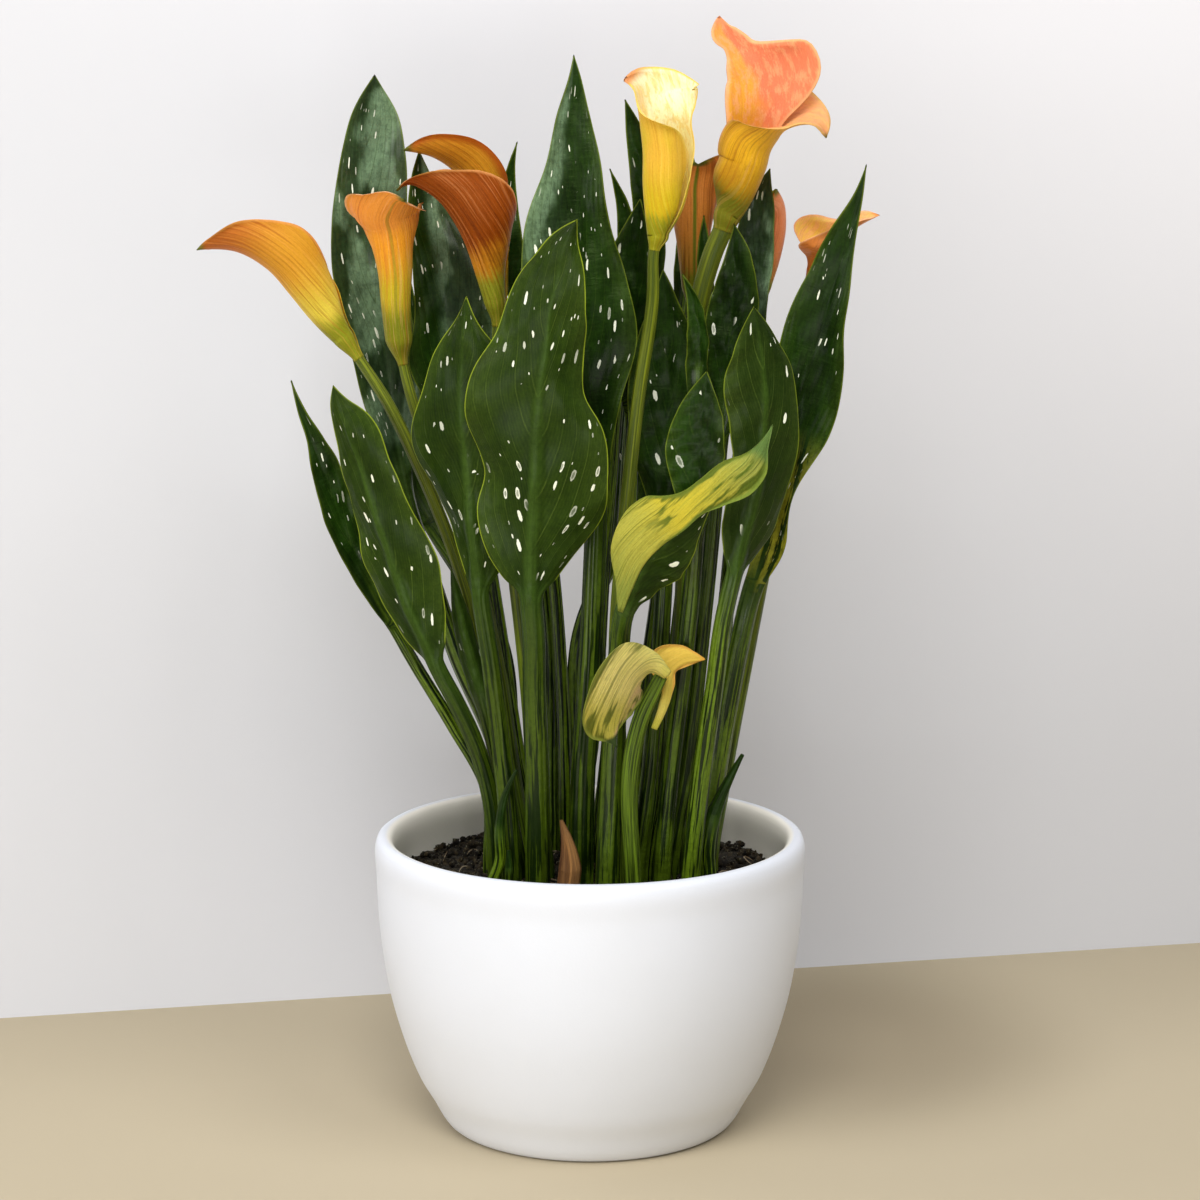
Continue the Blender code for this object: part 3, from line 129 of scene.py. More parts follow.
# The rows of the leaves, blooms and sheets, as in the solids. A leaf has its grain, the side that
# its upper face looks to (1 front, -1 back), the waving of its edge (depth, number of waves,
# start), the place and radius of its stem in the soil, the stem as x, y, z, radius, and the blade
# as x, y, z, left and right half-width, curl and roll in degrees.
LEAVES = {
    "bract_green": ("small", -1, (0, 1, 0), (8, -41, 5.8), [
        (10, -42, 172, 5.6), (12, -43, 209, 5), (13, -46, 231, 4.4),
    ], [
        (16, -53, 255, 3, 8.5, 35, 0), (24, -59, 274, 2, 18.5, 26, 0), (33, -62.5, 284, 2, 17, 24, 0),
        (42, -64, 292, 2, 10, 24, 0), (54, -65, 302, 0, 0, 24, 0),
    ]),
    "leaf_01": ("large", 1, (3, 2.2, 0.1), (-38, 14, 5), [
        (-42, 16, 169, 4.6), (-63, 20, 220, 4.2), (-77, 23, 263, 3.8),
    ], [
        (-85, 25, 289, 5, 5, 40, -18), (-90, 27, 314, 8, 8.5, 30, -18),
        (-93, 28, 337, 13, 13.5, 22, -18), (-97, 30, 370, 17.5, 15, 20, -18),
        (-103, 31, 402, 18.5, 17.5, 22, -13), (-104, 32, 427, 15, 20, 26, -10),
        (-103, 33, 453, 11.5, 18, 26, -13), (-101, 35, 472, 7.5, 11, 22, -18),
        (-99, 36, 487, 0, 0, 22, -18),
    ]),
    "leaf_02": ("large", 1, (2.5, 2, 0.6), (-24, 12, 4.5), [
        (-34, 12, 169, 4.2), (-42, 12, 227, 3.8), (-49, 12, 274, 3.4),
    ], [
        (-55, 13, 311, 4.5, 4.5, 30, -10), (-60, 13, 334, 12.5, 10.5, 24, -10),
        (-64, 13, 357, 20, 20, 24, -10), (-67, 14, 380, 14.5, 22, 24, -10),
        (-70, 16, 402, 12, 18, 24, -18), (-74, 18, 423, 10.5, 10, 24, -15),
        (-76, 20, 439, 6.5, 4.5, 20, -10), (-78, 21, 453, 0, 0, 20, -10),
    ]),
    "leaf_03": ("small", 1, (0, 1, 0), (-12, 32, 3.2), [
        (-12, 34, 164, 3), (-16, 39, 241, 2.8), (-25, 46, 317, 2.4),
    ], [
        (-31, 50, 363, 4.5, 4.5, 35, -20), (-37, 53, 405, 6, 6, 35, -20),
        (-39, 56, 429, 5, 5, 35, -20), (-37, 57, 444, 2, 2, 30, -20), (-34, 59, 456, 0, 0, 30, -20),
    ]),
    "leaf_04": ("large", 1, (3, 2.4, 0.3), (-4, -20, 6), [
        (-3, -22, 168, 5.8), (0, -25, 215, 5.4), (2, -26, 261, 4.8),
    ], [
        (3, -26, 298, 6.5, 6, 35, 0), (2, -25, 325, 14, 9, 28, 0), (0, -24, 345, 22, 15.5, 24, 0),
        (-1, -24, 370, 30.5, 23, 22, 0), (-3, -22, 397, 28.5, 19.5, 22, -4),
        (-6, -19, 421, 24, 15, 24, -6), (-7, -15, 445, 14, 12.5, 26, -4),
        (-8, -10, 469, 6.5, 8.5, 24, 0), (-7, -7, 485, 2.5, 3.5, 20, 0), (-7, -5, 496, 0, 0, 20, 0),
    ]),
    "leaf_05": ("long", -1, (3.5, 3, 0), (-24, -27, 6), [
        (-24, -33, 170, 6), (-25, -39, 213, 5.6), (-25, -43, 237, 5),
    ], [
        (-26, -46, 254, 5.5, 6, 35, 6), (-26, -50, 275, 20.5, 18.5, 30, 6),
        (-25, -53, 294, 26.5, 31.5, 26, 6), (-24, -56, 311, 24.5, 33, 24, 6),
        (-23, -59, 333, 32.5, 30, 22, 6), (-22, -61, 350, 32.5, 20.5, 22, 6),
        (-19, -63, 369, 25, 17, 22, 6), (-17, -65, 387, 20, 16.5, 24, 6),
        (-13, -67, 403, 14.5, 12, 24, 6), (-10, -69, 416, 7.5, 6, 20, 6), (-5, -71, 426, 0, 0, 20, 6),
    ]),
    "leaf_06": ("large", -1, (2.5, 2.2, 0.4), (-36, -24, 4.6), [
        (-38, -25, 159, 4.6), (-41, -27, 188, 4.4), (-45, -30, 225, 4),
    ], [
        (-49, -33, 253, 4.5, 5, 35, 22), (-52, -36, 279, 10, 15, 26, 22),
        (-54, -38, 303, 20, 21, 24, 22), (-56, -40, 327, 29, 24.5, 22, 22),
        (-57, -41, 347, 20.5, 23.5, 24, 22), (-56, -42, 367, 14, 17, 26, 22),
        (-55, -43, 379, 6, 7, 22, 22), (-54, -43, 391, 0, 0, 22, 22),
    ]),
    "leaf_07": ("large", -1, (1.5, 2, 0.2), (-43, -14, 4.4), [
        (-46, -18, 160, 4.2), (-53, -22, 186, 4), (-61, -26, 205, 3.8),
    ], [
        (-69, -28, 221, 4, 5.5, 30, 22), (-79, -30, 243, 11, 15, 22, 22),
        (-88, -32, 267, 15, 21, 20, 22), (-95, -33, 290, 14.5, 18, 20, 22),
        (-102, -34, 313, 11, 15, 20, 22), (-108, -35, 331, 7.5, 13, 22, 22),
        (-112, -35, 342, 4.5, 6, 20, 22), (-114, -36, 351, 0, 0, 20, 22),
    ]),
    "leaf_08": ("small", 1, (0, 1, 0), (-47, 2, 3.2), [
        (-48, 0, 158, 3), (-64, -4, 190, 2.8), (-83, -6, 223, 2.6),
    ], [
        (-99, -8, 254, 6.5, 8, 30, -30), (-112, -9, 281, 8, 8.5, 26, -30),
        (-120, -10, 305, 7, 8.5, 26, -30), (-126, -11, 323, 2.5, 6.5, 40, 0),
        (-131, -12, 337, 1.5, 2.5, 40, 0), (-135, -13, 351, 0, 0, 40, 0),
    ]),
    "leaf_10": ("small", -1, (0, 1, 0), (-33, -9, 3.8), [
        (-39, -10, 155, 3.8), (-45, -13, 187, 3.8),
    ], [
        (-50, -15, 208, 7, 6.5, 50, 0), (-56, -18, 230, 6, 6, 55, 0), (-60, -20, 249, 3.5, 4, 50, 0),
        (-63, -21, 266, 0, 0, 50, 0),
    ]),
    "leaf_11": ("small", 1, (0, 1, 0), (3, 17, 3.6), [
        (8, 22, 167, 3.4), (15, 24, 263, 3.2), (20, 24, 338, 3),
    ], [
        (26, 24, 389, 8.5, 8.5, 35, 18), (28, 24, 416, 8, 8, 30, 18), (25, 23, 439, 6.5, 7, 30, 18),
        (20, 22, 460, 3.5, 6, 30, 18), (16, 21, 476, 0, 0, 30, 18),
    ]),
    "leaf_12": ("small", 1, (0, 1, 0), (-10, 12, 3.2), [
        (0, 12, 169, 3), (7, 10, 265, 2.8), (13, 9, 339, 2.6),
    ], [
        (17, 9, 385, 6, 6, 35, 18), (18, 9, 413, 5.5, 5.5, 35, 18), (15, 10, 428, 3, 3.5, 30, 18),
        (9, 11, 445, 0, 0, 30, 18),
    ]),
    "leaf_13": ("small", 1, (0, 1, 0), (8, -4, 4.2), [
        (10, -4, 173, 4), (16, -4, 248, 3.6), (19, -3, 318, 3.2),
    ], [
        (21, -2, 359, 10, 9, 28, 18), (21, -1, 386, 12, 10, 26, 18), (21, 0, 406, 12, 8.5, 26, 18),
        (22, 1, 421, 5.5, 4.5, 24, 18), (23, 2, 432, 0, 0, 24, 18),
    ]),
    "leaf_14": ("large", 1, (2, 2, 0.2), (23, -17, 4.4), [
        (29, -19, 176, 4.2), (33, -19, 242, 3.8),
    ], [
        (35, -18, 288, 7, 7, 32, 15), (35, -17, 320, 16.5, 14.5, 26, 15),
        (36, -16, 347, 18.5, 14.5, 24, 15), (35, -15, 371, 13.5, 12.5, 24, 15),
        (34, -14, 388, 6, 6, 22, 15), (33, -13, 401, 0, 0, 22, 15),
    ]),
    "leaf_15": ("small", 1, (0, 1, 0), (27, -8, 3), [
        (36, -14, 175, 2.8), (44, -23, 252, 2.6), (48, -31, 321, 2.4),
    ], [
        (49, -33, 357, 6.5, 6, 60, 25), (49, -33, 373, 6, 6.5, 60, 25), (46, -32, 388, 3, 4.5, 50, 25),
        (41, -31, 400, 0, 0, 50, 25),
    ]),
    "leaf_16": ("large", 1, (2, 2, 0.5), (37, -6, 4.4), [
        (45, -8, 174, 4.2), (53, -10, 249, 3.8), (58, -11, 305, 3.4),
    ], [
        (61, -11, 342, 8, 8, 30, 18), (63, -11, 369, 11.5, 11.5, 24, 18),
        (65, -11, 389, 10.5, 12.5, 24, 18), (65, -11, 406, 4.5, 9.5, 24, 18),
        (65, -11, 421, 0, 0, 24, 18),
    ]),
    "leaf_17": ("large", 1, (1.5, 2, 0.1), (46, 18, 4.4), [
        (56, 18, 168, 4.2), (64, 17, 245, 3.8), (70, 15, 316, 3.4),
    ], [
        (74, 14, 353, 6.5, 5.5, 35, 25), (76, 13, 385, 9.5, 7.5, 30, 25),
        (77, 12, 408, 10.5, 8.5, 26, 25), (79, 12, 428, 8.5, 6, 26, 25), (82, 12, 445, 0, 0, 26, 25),
    ]),
    "leaf_18": ("large", -1, (2.5, 2, 0.3), (46, -31, 4.6), [
        (50, -36, 166, 4.4), (56, -42, 214, 4.2), (60, -46, 247, 3.8),
    ], [
        (64, -48, 266, 4.5, 5, 30, -18), (70, -49, 289, 12.5, 15.5, 26, -18),
        (75, -50, 310, 11.5, 17, 24, -18), (77, -51, 333, 14.5, 17.5, 22, -18),
        (77, -51, 352, 19, 16, 22, -18), (75, -51, 370, 13, 10.5, 22, -18),
        (72, -51, 387, 0, 0, 22, -18),
    ]),
    "leaf_19": ("large", 1, (2.5, 2.6, 0.2), (54, -6, 5), [
        (58, -8, 164, 5.2), (64, -10, 203, 5), (69, -12, 231, 4.6),
    ], [
        (74, -13, 255, 3.5, 7.5, 30, 20), (80, -14, 278, 5, 11, 26, 20), (86, -15, 301, 8, 8, 24, 20),
        (92, -16, 328, 14, 17, 22, 20), (98, -17, 354, 15.5, 18.5, 22, 20),
        (104, -18, 376, 16.5, 13, 22, 20), (110, -19, 396, 13, 8, 24, 20),
        (115, -20, 416, 8, 4.5, 26, 20), (120, -21, 434, 2.5, 2, 24, 20),
        (123, -22, 448, 0, 0, 24, 20),
    ]),
    "leaf_22": ("small", 1, (0, 1, 0), (33, -30, 4.4), [
        (37, -33, 175, 4.2), (44, -39, 236, 3.8), (47, -42, 273, 3.4),
    ], [
        (48, -44, 300, 9.5, 8, 28, 18), (49, -44, 323, 15.5, 12.5, 24, 18),
        (50, -43, 341, 10.5, 9.5, 24, 18), (52, -42, 358, 0, 0, 24, 18),
    ]),
    "leaf_23": ("small", 1, (0, 1, 0), (20, 30, 3.6), [
        (22, 35, 164, 3.4), (34, 42, 260, 3.2), (42, 48, 345, 2.8),
    ], [
        (46, 52, 392, 7, 7, 35, 28), (48, 55, 419, 6.5, 6.5, 32, 28), (48, 58, 436, 4.5, 4.5, 30, 28),
        (48, 60, 451, 0, 0, 30, 28),
    ]),
    "leaf_24": ("small", 1, (0, 1, 0), (30, 11, 3), [
        (33, 13, 164, 2.9), (42, 14, 245, 2.8), (49, 12, 321, 2.4),
    ], [
        (53, 11, 367, 5, 4.5, 40, 0), (53, 10, 394, 4.5, 4, 40, 0), (52, 10, 413, 2.5, 2.5, 35, 0),
        (52, 10, 424, 0, 0, 35, 0),
    ]),
    "leaf_25": ("large", 1, (2, 2, 0.2), (-19, 40, 4.4), [
        (-19, 50, 161, 4.4), (-20, 59, 218, 4.2),
    ], [
        (-27, 71, 284, 10.5, 10.5, 32, -15), (-30, 79, 322, 19.5, 19.5, 26, -15),
        (-28, 87, 355, 18.5, 19.5, 26, -15), (-24, 95, 384, 9.5, 10.5, 26, -15),
        (-21, 103, 405, 0, 0, 26, -15),
    ]),
    "leaf_26": ("large", 1, (2, 2, 0.7), (-6, 42, 4.4), [
        (-6, 50, 161, 4.6), (-5, 58, 218, 4.4),
    ], [
        (22, 69, 285, 11, 11, 32, 22), (27, 77, 318, 18.5, 18.5, 26, 22),
        (31, 84, 351, 16, 17, 26, 22), (33, 92, 379, 8, 8.5, 26, 22), (33, 99, 397, 0, 0, 26, 22),
    ]),
    "leaf_27": ("large", 1, (2, 2, 0.5), (-36, 31, 4), [
        (-38, 38, 164, 4.2), (-42, 44, 216, 4.2),
    ], [
        (-81, 61, 286, 9, 9, 32, -40), (-90, 69, 323, 15.5, 15.5, 26, -40),
        (-95, 76, 361, 17, 15.5, 26, -40), (-100, 84, 399, 10.5, 10.5, 26, -40),
        (-103, 90, 427, 0, 0, 26, -40),
    ]),
    "sheath": ("tiny", -1, (0, 1, 0), (-10, -36, 5.2), [

    ], [
        (-9, -37, 130, 6.5, 6.5, 60, 0), (-10, -38, 141, 4, 4.5, 60, 0), (-13, -39, 153, 0, 0, 60, 0),
    ]),
    "sprout_1": ("tiny", 1, (0, 1, 0), (55, -23, 3.8), [
        (54, -24, 135, 3.6),
    ], [
        (56, -25, 149, 4, 4.5, 50, 0), (61, -26, 163, 2.5, 3.5, 50, 0), (70, -27, 181, 0, 0, 50, 0),
    ]),
    "sprout_2": ("tiny", 1, (0, 1, 0), (34, 18, 3.2), [
        (36, 18, 134, 3),
    ], [
        (37, 18, 146, 2.5, 3, 50, 0), (39, 19, 158, 2, 2, 50, 0), (43, 20, 169, 0, 0, 50, 0),
    ]),
    "sprout_3": ("tiny", 1, (0, 1, 0), (-45, -30, 2.6), [
        (-41, -32, 132, 2.4),
    ], [
        (-41, -34, 147, 2.5, 2.5, 50, 0), (-39, -35, 162, 2, 2.5, 50, 0), (-33, -36, 176, 0, 0, 50, 0),
    ]),
    "sprout_4": ("tiny", 1, (0, 1, 0), (-37, -35, 1.8), [

    ], [
        (-37, -35, 129, 1.5, 1.5, 50, 0), (-37, -35, 138, 0, 0, 50, 0),
    ]),
    "sprout_5": ("tiny", 1, (0, 1, 0), (25, 2, 2.6), [
        (26, 2, 143, 2.6),
    ], [
        (26, 2, 157, 2.5, 2.5, 50, 0), (27, 2, 169, 2, 2, 50, 0), (27, 2, 179, 0, 0, 50, 0),
    ]),
}

# Blooms: how far the edges roll back, the place and radius of the stalk in the soil, the stalk
# above it as x, y, z, radius, and the coloured sheet along its back line, from the neck to
# the tip, as x, y, z, half-width of the unrolled sheet, curl, roll and lean.
BLOOMS = {
    "bloom_01": (0.2, (-39, 4, 3.2), [
        (-42, 1, 162, 3.2), (-49, -6, 221, 3), (-61, -13, 269, 2.9), (-77, -16, 311, 2.8),
        (-91, -18, 341, 2.7),
    ], [
        (-114, -18, 368, 17, 195, -112, 0), (-120, -19, 374, 23, 188, -112, 0),
        (-126, -20, 381, 29, 178, -112, 0), (-132, -22, 389, 30, 155, -112, 0),
        (-143, -24, 402, 28.5, 120, -112, 0), (-157, -25, 410, 18, 85, -112, 0),
        (-168, -25, 411, 7.5, 55, -112, 0), (-175, -25, 410, 0, 55, -112, 0),
    ]),
    "bloom_02": (0.5, (-29, 3, 3.2), [
        (-35, 3, 162, 3.2), (-43, 3, 219, 3), (-55, 1, 271, 2.9), (-69, -4, 309, 2.7),
        (-80, -8, 339, 2.5),
    ], [
        (-86, -13, 369, 19.8, 195, 180, 0), (-87, -15, 384, 21, 190, 180, 0),
        (-87, -17, 398, 22.5, 175, 180, 0), (-88, -19, 410, 24, 150, 180, 0),
        (-89, -21, 418, 25, 112, 180, 0), (-90, -24, 423, 25, 86, 180, 0),
        (-88, -28, 428, 17, 62, 180, 0), (-85, -32, 432, 8, 45, 180, 0),
        (-81, -36, 432, 0, 45, 180, 0),
    ]),
    "bloom_03": (0.2, (-20, -11, 3.6), [
        (-25, -10, 165, 3.6), (-30, -9, 221, 3.4), (-36, -8, 277, 3.3), (-40, -7, 327, 3.2),
        (-42, -8, 355, 3),
    ], [
        (-47, -10, 386, 17.5, 195, -110, 0), (-51, -12, 400, 25.5, 186, -110, 0),
        (-54, -15, 410, 33, 165, -110, 0), (-59, -18, 421, 39, 135, -110, 0),
        (-66, -20, 431, 28.5, 105, -110, 0), (-74, -22, 437, 15, 75, -110, 0),
        (-80, -22, 439, 6, 50, -110, 0), (-86, -22, 436, 0, 50, -110, 0),
    ]),
    "bloom_04": (0.2, (-24, 26, 3.4), [
        (-27, 26, 157, 3.4), (-31, 26, 243, 3.2), (-36, 26, 319, 3), (-40, 25, 361, 2.8),
    ], [
        (-46, 22, 390, 14.5, 195, -110, 0), (-48, 20, 407, 17.5, 185, -110, 0),
        (-53, 18, 427, 22.5, 150, -110, 0), (-61, 16, 443, 24, 105, -110, 0),
        (-71, 14, 450, 19, 75, -110, 0), (-85, 13, 453, 0, 75, -110, 0),
    ]),
    "bloom_05": (0.1, (14, -23, 3.5), [
        (14, -26, 169, 3.5), (12, -31, 230, 3.4), (16, -37, 290, 3.2), (22, -40, 347, 3),
        (28, -38, 389, 2.8),
    ], [
        (26, -36, 417, 15, 195, -75, 0), (25, -36, 427, 26, 192, -75, 0),
        (24, -36, 440, 31, 182, -75, 0), (24, -36, 454, 30.5, 176, -75, 0),
        (23, -36, 464, 26, 141, -75, 0.17), (22, -36, 472, 22, 104, -75, 0.6),
        (21, -36, 476, 23, 97, -75, 0.82), (20, -36, 480, 14, 60, -75, 0.86),
        (18, -36, 483, 7, 42, -75, 0.88), (15, -36, 485, 0, 42, -75, 0.88),
    ]),
    "bloom_06": (0.3, (41, 5, 5), [
        (39, 5, 161, 5), (44, 4, 247, 4.8), (46, 1, 322, 4.6), (50, -2, 386, 4.4), (56, -3, 408, 4.5),
    ], [
        (67, -3, 422, 20.8, 195, 82, 0), (71, -3, 428, 29.5, 195, 82, 0),
        (75, -4, 436, 35, 185, 82, 0), (79, -5, 446, 34.5, 180, 82, 0), (81, -6, 454, 35, 164, 82, 0),
        (84, -7, 459, 35, 130, 82, -0.06), (87, -8, 463, 25, 86, 82, -0.2),
        (96, -10, 466, 16, 72, 82, -0.22), (102, -11, 465, 9, 60, 82, -0.15),
        (106, -11, 459, 0, 60, 82, -0.15),
    ]),
    "bloom_07": (0.4, (22, 14, 3.2), [
        (27, 18, 158, 3.2), (35, 22, 244, 3), (42, 24, 319, 2.8), (47, 26, 363, 2.6),
    ], [
        (48, 21, 391, 17, 195, 180, 0), (48, 18, 410, 24, 190, 180, 0), (48, 15, 426, 27, 150, 180, 0),
        (48, 13, 437, 26, 112, 180, 0), (49, 11, 444, 22, 85, 180, 0), (49, 5, 447, 0, 85, 180, 0),
    ]),
    "bloom_08": (0.2, (38, 32, 3.2), [
        (53, 36, 154, 3.2), (63, 38, 232, 3), (71, 38, 308, 2.8), (77, 34, 360, 2.6),
    ], [
        (84, 31, 391, 14.9, 195, 82, 0), (88, 30, 405, 22, 185, 82, 0), (90, 30, 418, 24, 150, 82, 0),
        (89, 29, 429, 16, 90, 82, 0), (86, 28, 435, 0, 90, 82, 0),
    ]),
    "bloom_09": (0.35, (57, 11, 3.4), [
        (63, 14, 159, 3.4), (75, 16, 226, 3.2), (87, 18, 292, 3), (95, 17, 348, 2.8),
    ], [
        (106, 14, 386, 16.5, 195, 82, 0), (109, 13, 397, 17, 184, 82, 0),
        (110, 12, 403, 17.5, 155, 82, 0.02), (112, 11, 408, 31, 112, 82, 0.03),
        (115, 10, 413, 21, 90, 82, 0.04), (119, 10, 417, 10.5, 76, 82, 0.05),
        (125, 9, 421, 8, 70, 82, 0), (132, 8, 424, 0, 70, 82, 0),
    ]),
}

# The old bent stalk, and sheets that have no stalk of their own: the side that their hollow
# looks to, then rows as on a blade.
OLD_ROOT = (20, -45, 3.8)
OLD_STALK = [
    (18, -48, 174, 3.8), (20, -49, 190, 3.9), (24, -50, 205, 3.7), (29, -51, 216, 3.3),
    (32, -51, 222, 3),
]
LOOSE_SHEETS = {
    "bloom_06_inner": (1, [
        (64, -3, 429, 8.5, 8.5, 150, -20), (67, -2, 443, 11.5, 11.5, 125, -20),
        (69, -4, 454, 12.5, 12, 85, -15), (72, -6, 468, 12.5, 15.5, 48, -12),
        (72, -6, 478, 12, 27.5, 40, -8), (71, -5, 486, 10, 33, 36, -4), (69, -5, 491, 8, 27.5, 36, -2),
        (67, -4, 496, 6, 10.5, 34, 0), (64, -4, 501, 5, 6.5, 34, 0), (60, -4, 506, 6, 4.5, 34, 0),
        (58, -4, 513, 0, 0, 34, 0),
    ]),
    "bract_yellow": (-1, [
        (14, -55.8, 252, 1.5, 1, 30, 0), (18, -59.2, 264, 7.5, 1.5, 30, 0),
        (23, -62.6, 275, 16.5, 1.5, 30, 0), (31, -65.3, 284, 21, 1.5, 28, 0),
        (40, -66.8, 291, 19, 1.5, 26, 0), (48, -67.5, 299, 11, 2.5, 26, 0),
        (55, -67.5, 305, 10, 5.5, 26, 0), (63, -67.5, 313, 9, 10, 24, 0), (70, -67, 319, 6, 9, 24, 0),
        (75, -67, 327, 2, 3.5, 24, 0), (80, -67, 337, 0, 0, 24, 0),
    ]),
    "bloom_11_spathe": (-1, [
        (35, -55, 223, 2.5, 2.5, 40, 0), (28, -59, 228, 6, 7, 40, 0), (21, -64, 225, 15.5, 20, 26, 0),
        (15, -66, 215, 16.5, 23.5, 22, 0), (11, -64, 204, 12, 17, 24, 0),
        (11, -61, 196, 2.5, 4, 40, 0), (12, -59, 191, 0, 0, 40, 0),
    ]),
    "bloom_11_flap": (-1, [
        (29, -47, 197, 1.5, 1.5, 30, 0), (33, -47.5, 208, 2, 2.5, 30, 0),
        (35, -47.7, 217, 3, 3, 30, 0), (37, -47.8, 224, 11.5, 2, 30, 0), (42, -48, 228, 8, 2.5, 30, 0),
        (47, -48, 229, 3.5, 2, 30, 0), (52, -48, 229, 0, 0, 30, 0),
    ]),
}


def smooth(rows, where):
    """A curve through listed rows (x, y, z, then any further columns), read at the given
    fractions of its length, and its unit direction there. Catmull-Rom pieces, timed by the
    distance between the rows."""
    rows = np.array(rows, float)
    gaps = np.linalg.norm(np.diff(rows[:, :3], axis=0), axis=1) ** 0.8
    knots = np.concatenate([[0.0], np.cumsum(gaps)])
    steps = np.diff(rows, axis=0) / gaps[:, None]
    slopes = np.empty_like(rows)
    slopes[1:-1] = (steps[:-1] * gaps[1:, None] + steps[1:] * gaps[:-1, None]) / (
        gaps[1:] + gaps[:-1]
    )[:, None]
    slopes[0] = 1.5 * steps[0] - 0.5 * slopes[1]
    slopes[-1] = 1.5 * steps[-1] - 0.5 * slopes[-2]

    def at(t):
        """The curve's columns at the times t."""
        i = np.clip(np.searchsorted(knots, t, side="right") - 1, 0, len(gaps) - 1)
        h = gaps[i][:, None]
        u = (t - knots[i])[:, None] / h
        return (
            (2 * u**3 - 3 * u**2 + 1) * rows[i]
            + (u**3 - 2 * u**2 + u) * h * slopes[i]
            + (3 * u**2 - 2 * u**3) * rows[i + 1]
            + (u**3 - u**2) * h * slopes[i + 1]
        )

    fine = np.linspace(0, knots[-1], 500)
    run = np.linalg.norm(np.diff(at(fine)[:, :3], axis=0), axis=1)
    run = np.concatenate([[0.0], np.cumsum(run)])
    t = np.interp(np.asarray(where) * run[-1], run, fine)
    step = knots[-1] * 0.004
    ahead, behind = at(np.minimum(t + step, knots[-1])), at(np.maximum(t - step, 0))
    along = ahead[:, :3] - behind[:, :3]
    return at(t), along / np.linalg.norm(along, axis=1, keepdims=True)


def fraction_of(rows, row):
    """How far along the curve one of its rows lies, as a fraction of its length."""
    rows = np.array(rows, float)[:, :3]
    run = np.cumsum(np.linalg.norm(np.diff(rows, axis=0), axis=1))
    return float(run[row - 1] / run[-1]) if row else 0.0


def length_of(rows):
    """The length of the line through the rows, in millimetres."""
    rows = np.array(rows, float)[:, :3]
    return float(np.linalg.norm(np.diff(rows, axis=0), axis=1).sum())


def axes_along(along, roll):
    """Unit vectors across a path and up out of it, carried along it without twisting. With a
    roll of 0 the across vector starts in the front view's plane and up points to the front."""
    across = np.empty_like(along)
    last = np.cross(np.array([0.0, 1.0, 0.0]), along[0])
    for i, way in enumerate(along):
        last = last - (last @ way) * way
        last = last / np.linalg.norm(last)
        across[i] = last
    front = np.cross(across, along)
    turn = np.radians(roll)[:, None]
    cos, sin = np.cos(turn), np.sin(turn)
    return across * cos + front * sin, front * cos - across * sin


def rise(value, low, high):
    """0 below low, 1 above high, and a smooth step between them."""
    t = np.clip((value - low) / (high - low), 0, 1)
    return t * t * (3 - 2 * t)


def sheet(rows, along, c, side, tuck=0.0, flare=0.0, wave=(0, 1, 0), ruffle=0.0):
    """Middle surface and normals of a thin sheet that curls about a path. A row is x, y, z,
    left and right half-width, curl, roll and, for a bloom, lean: across the path the sheet is
    an arc with that half-angle, of which lean gives more to the right edge and less to the
    left. Tuck turns the arc into a spiral so that its edges pass each other: with
    r = half-width / bend, x = r (1 + tuck c) sin(bend c) across the path and
    y = r (1 - (1 + tuck c) cos(bend c)) up out of it. Wave lifts both edges in long waves, and
    ruffle adds short uneven ones close to the edge."""
    left, right, curl, roll = rows[:, 3:7].T
    lean = rows[:, 7:8] if rows.shape[1] > 7 else np.zeros((len(rows), 1))
    across, up = axes_along(along, roll)
    up = up * side
    c = np.asarray(c)[None, :]
    half = np.maximum(np.where(c < 0, left[:, None], right[:, None]), 0.15)
    bend = np.maximum(np.radians(curl), 0.02)[:, None] * (1 + lean * np.sign(c))
    radius, angle, swell = half / bend, bend * c, 1 + tuck * c
    x = radius * swell * np.sin(angle)
    y = radius * (1 - swell * np.cos(angle))
    s = np.linspace(0, 1, len(rows))[:, None]
    amount, turns, phase = wave
    room = np.minimum(1, half / 14)
    y = y + amount * c**2 * np.sin(2 * np.pi * (turns * s + phase) + 1.3 * c) * room
    uneven = np.sin(2 * np.pi * (5.3 * s + phase) + 2 * c)
    uneven = uneven + 0.6 * np.sin(2 * np.pi * (9.1 * s + 2 * phase) - 3 * c)
    y = y + ruffle * np.abs(c) ** 3 * uneven * room
    y = y - flare * half * np.maximum(0, np.abs(c) - 0.5) ** 2
    middle = rows[:, None, :3] + x[..., None] * across[:, None] + y[..., None] * up[:, None]
    normal = np.cross(np.gradient(middle, axis=1), np.gradient(middle, axis=0))
    normal /= np.maximum(np.linalg.norm(normal, axis=2, keepdims=True), 1e-9)
    centre = normal[:, normal.shape[1] // 2]
    normal *= np.sign((centre * up).sum(1))[:, None, None]
    return middle, normal, half


def both_faces(upper, lower):
    """Values on the upper face from left to right, then on the lower face back again."""
    return np.concatenate([upper, lower[:, ::-1]], axis=1)


def on_both(values):
    """The same values on the upper face and on the lower one."""
    return both_faces(values, values)


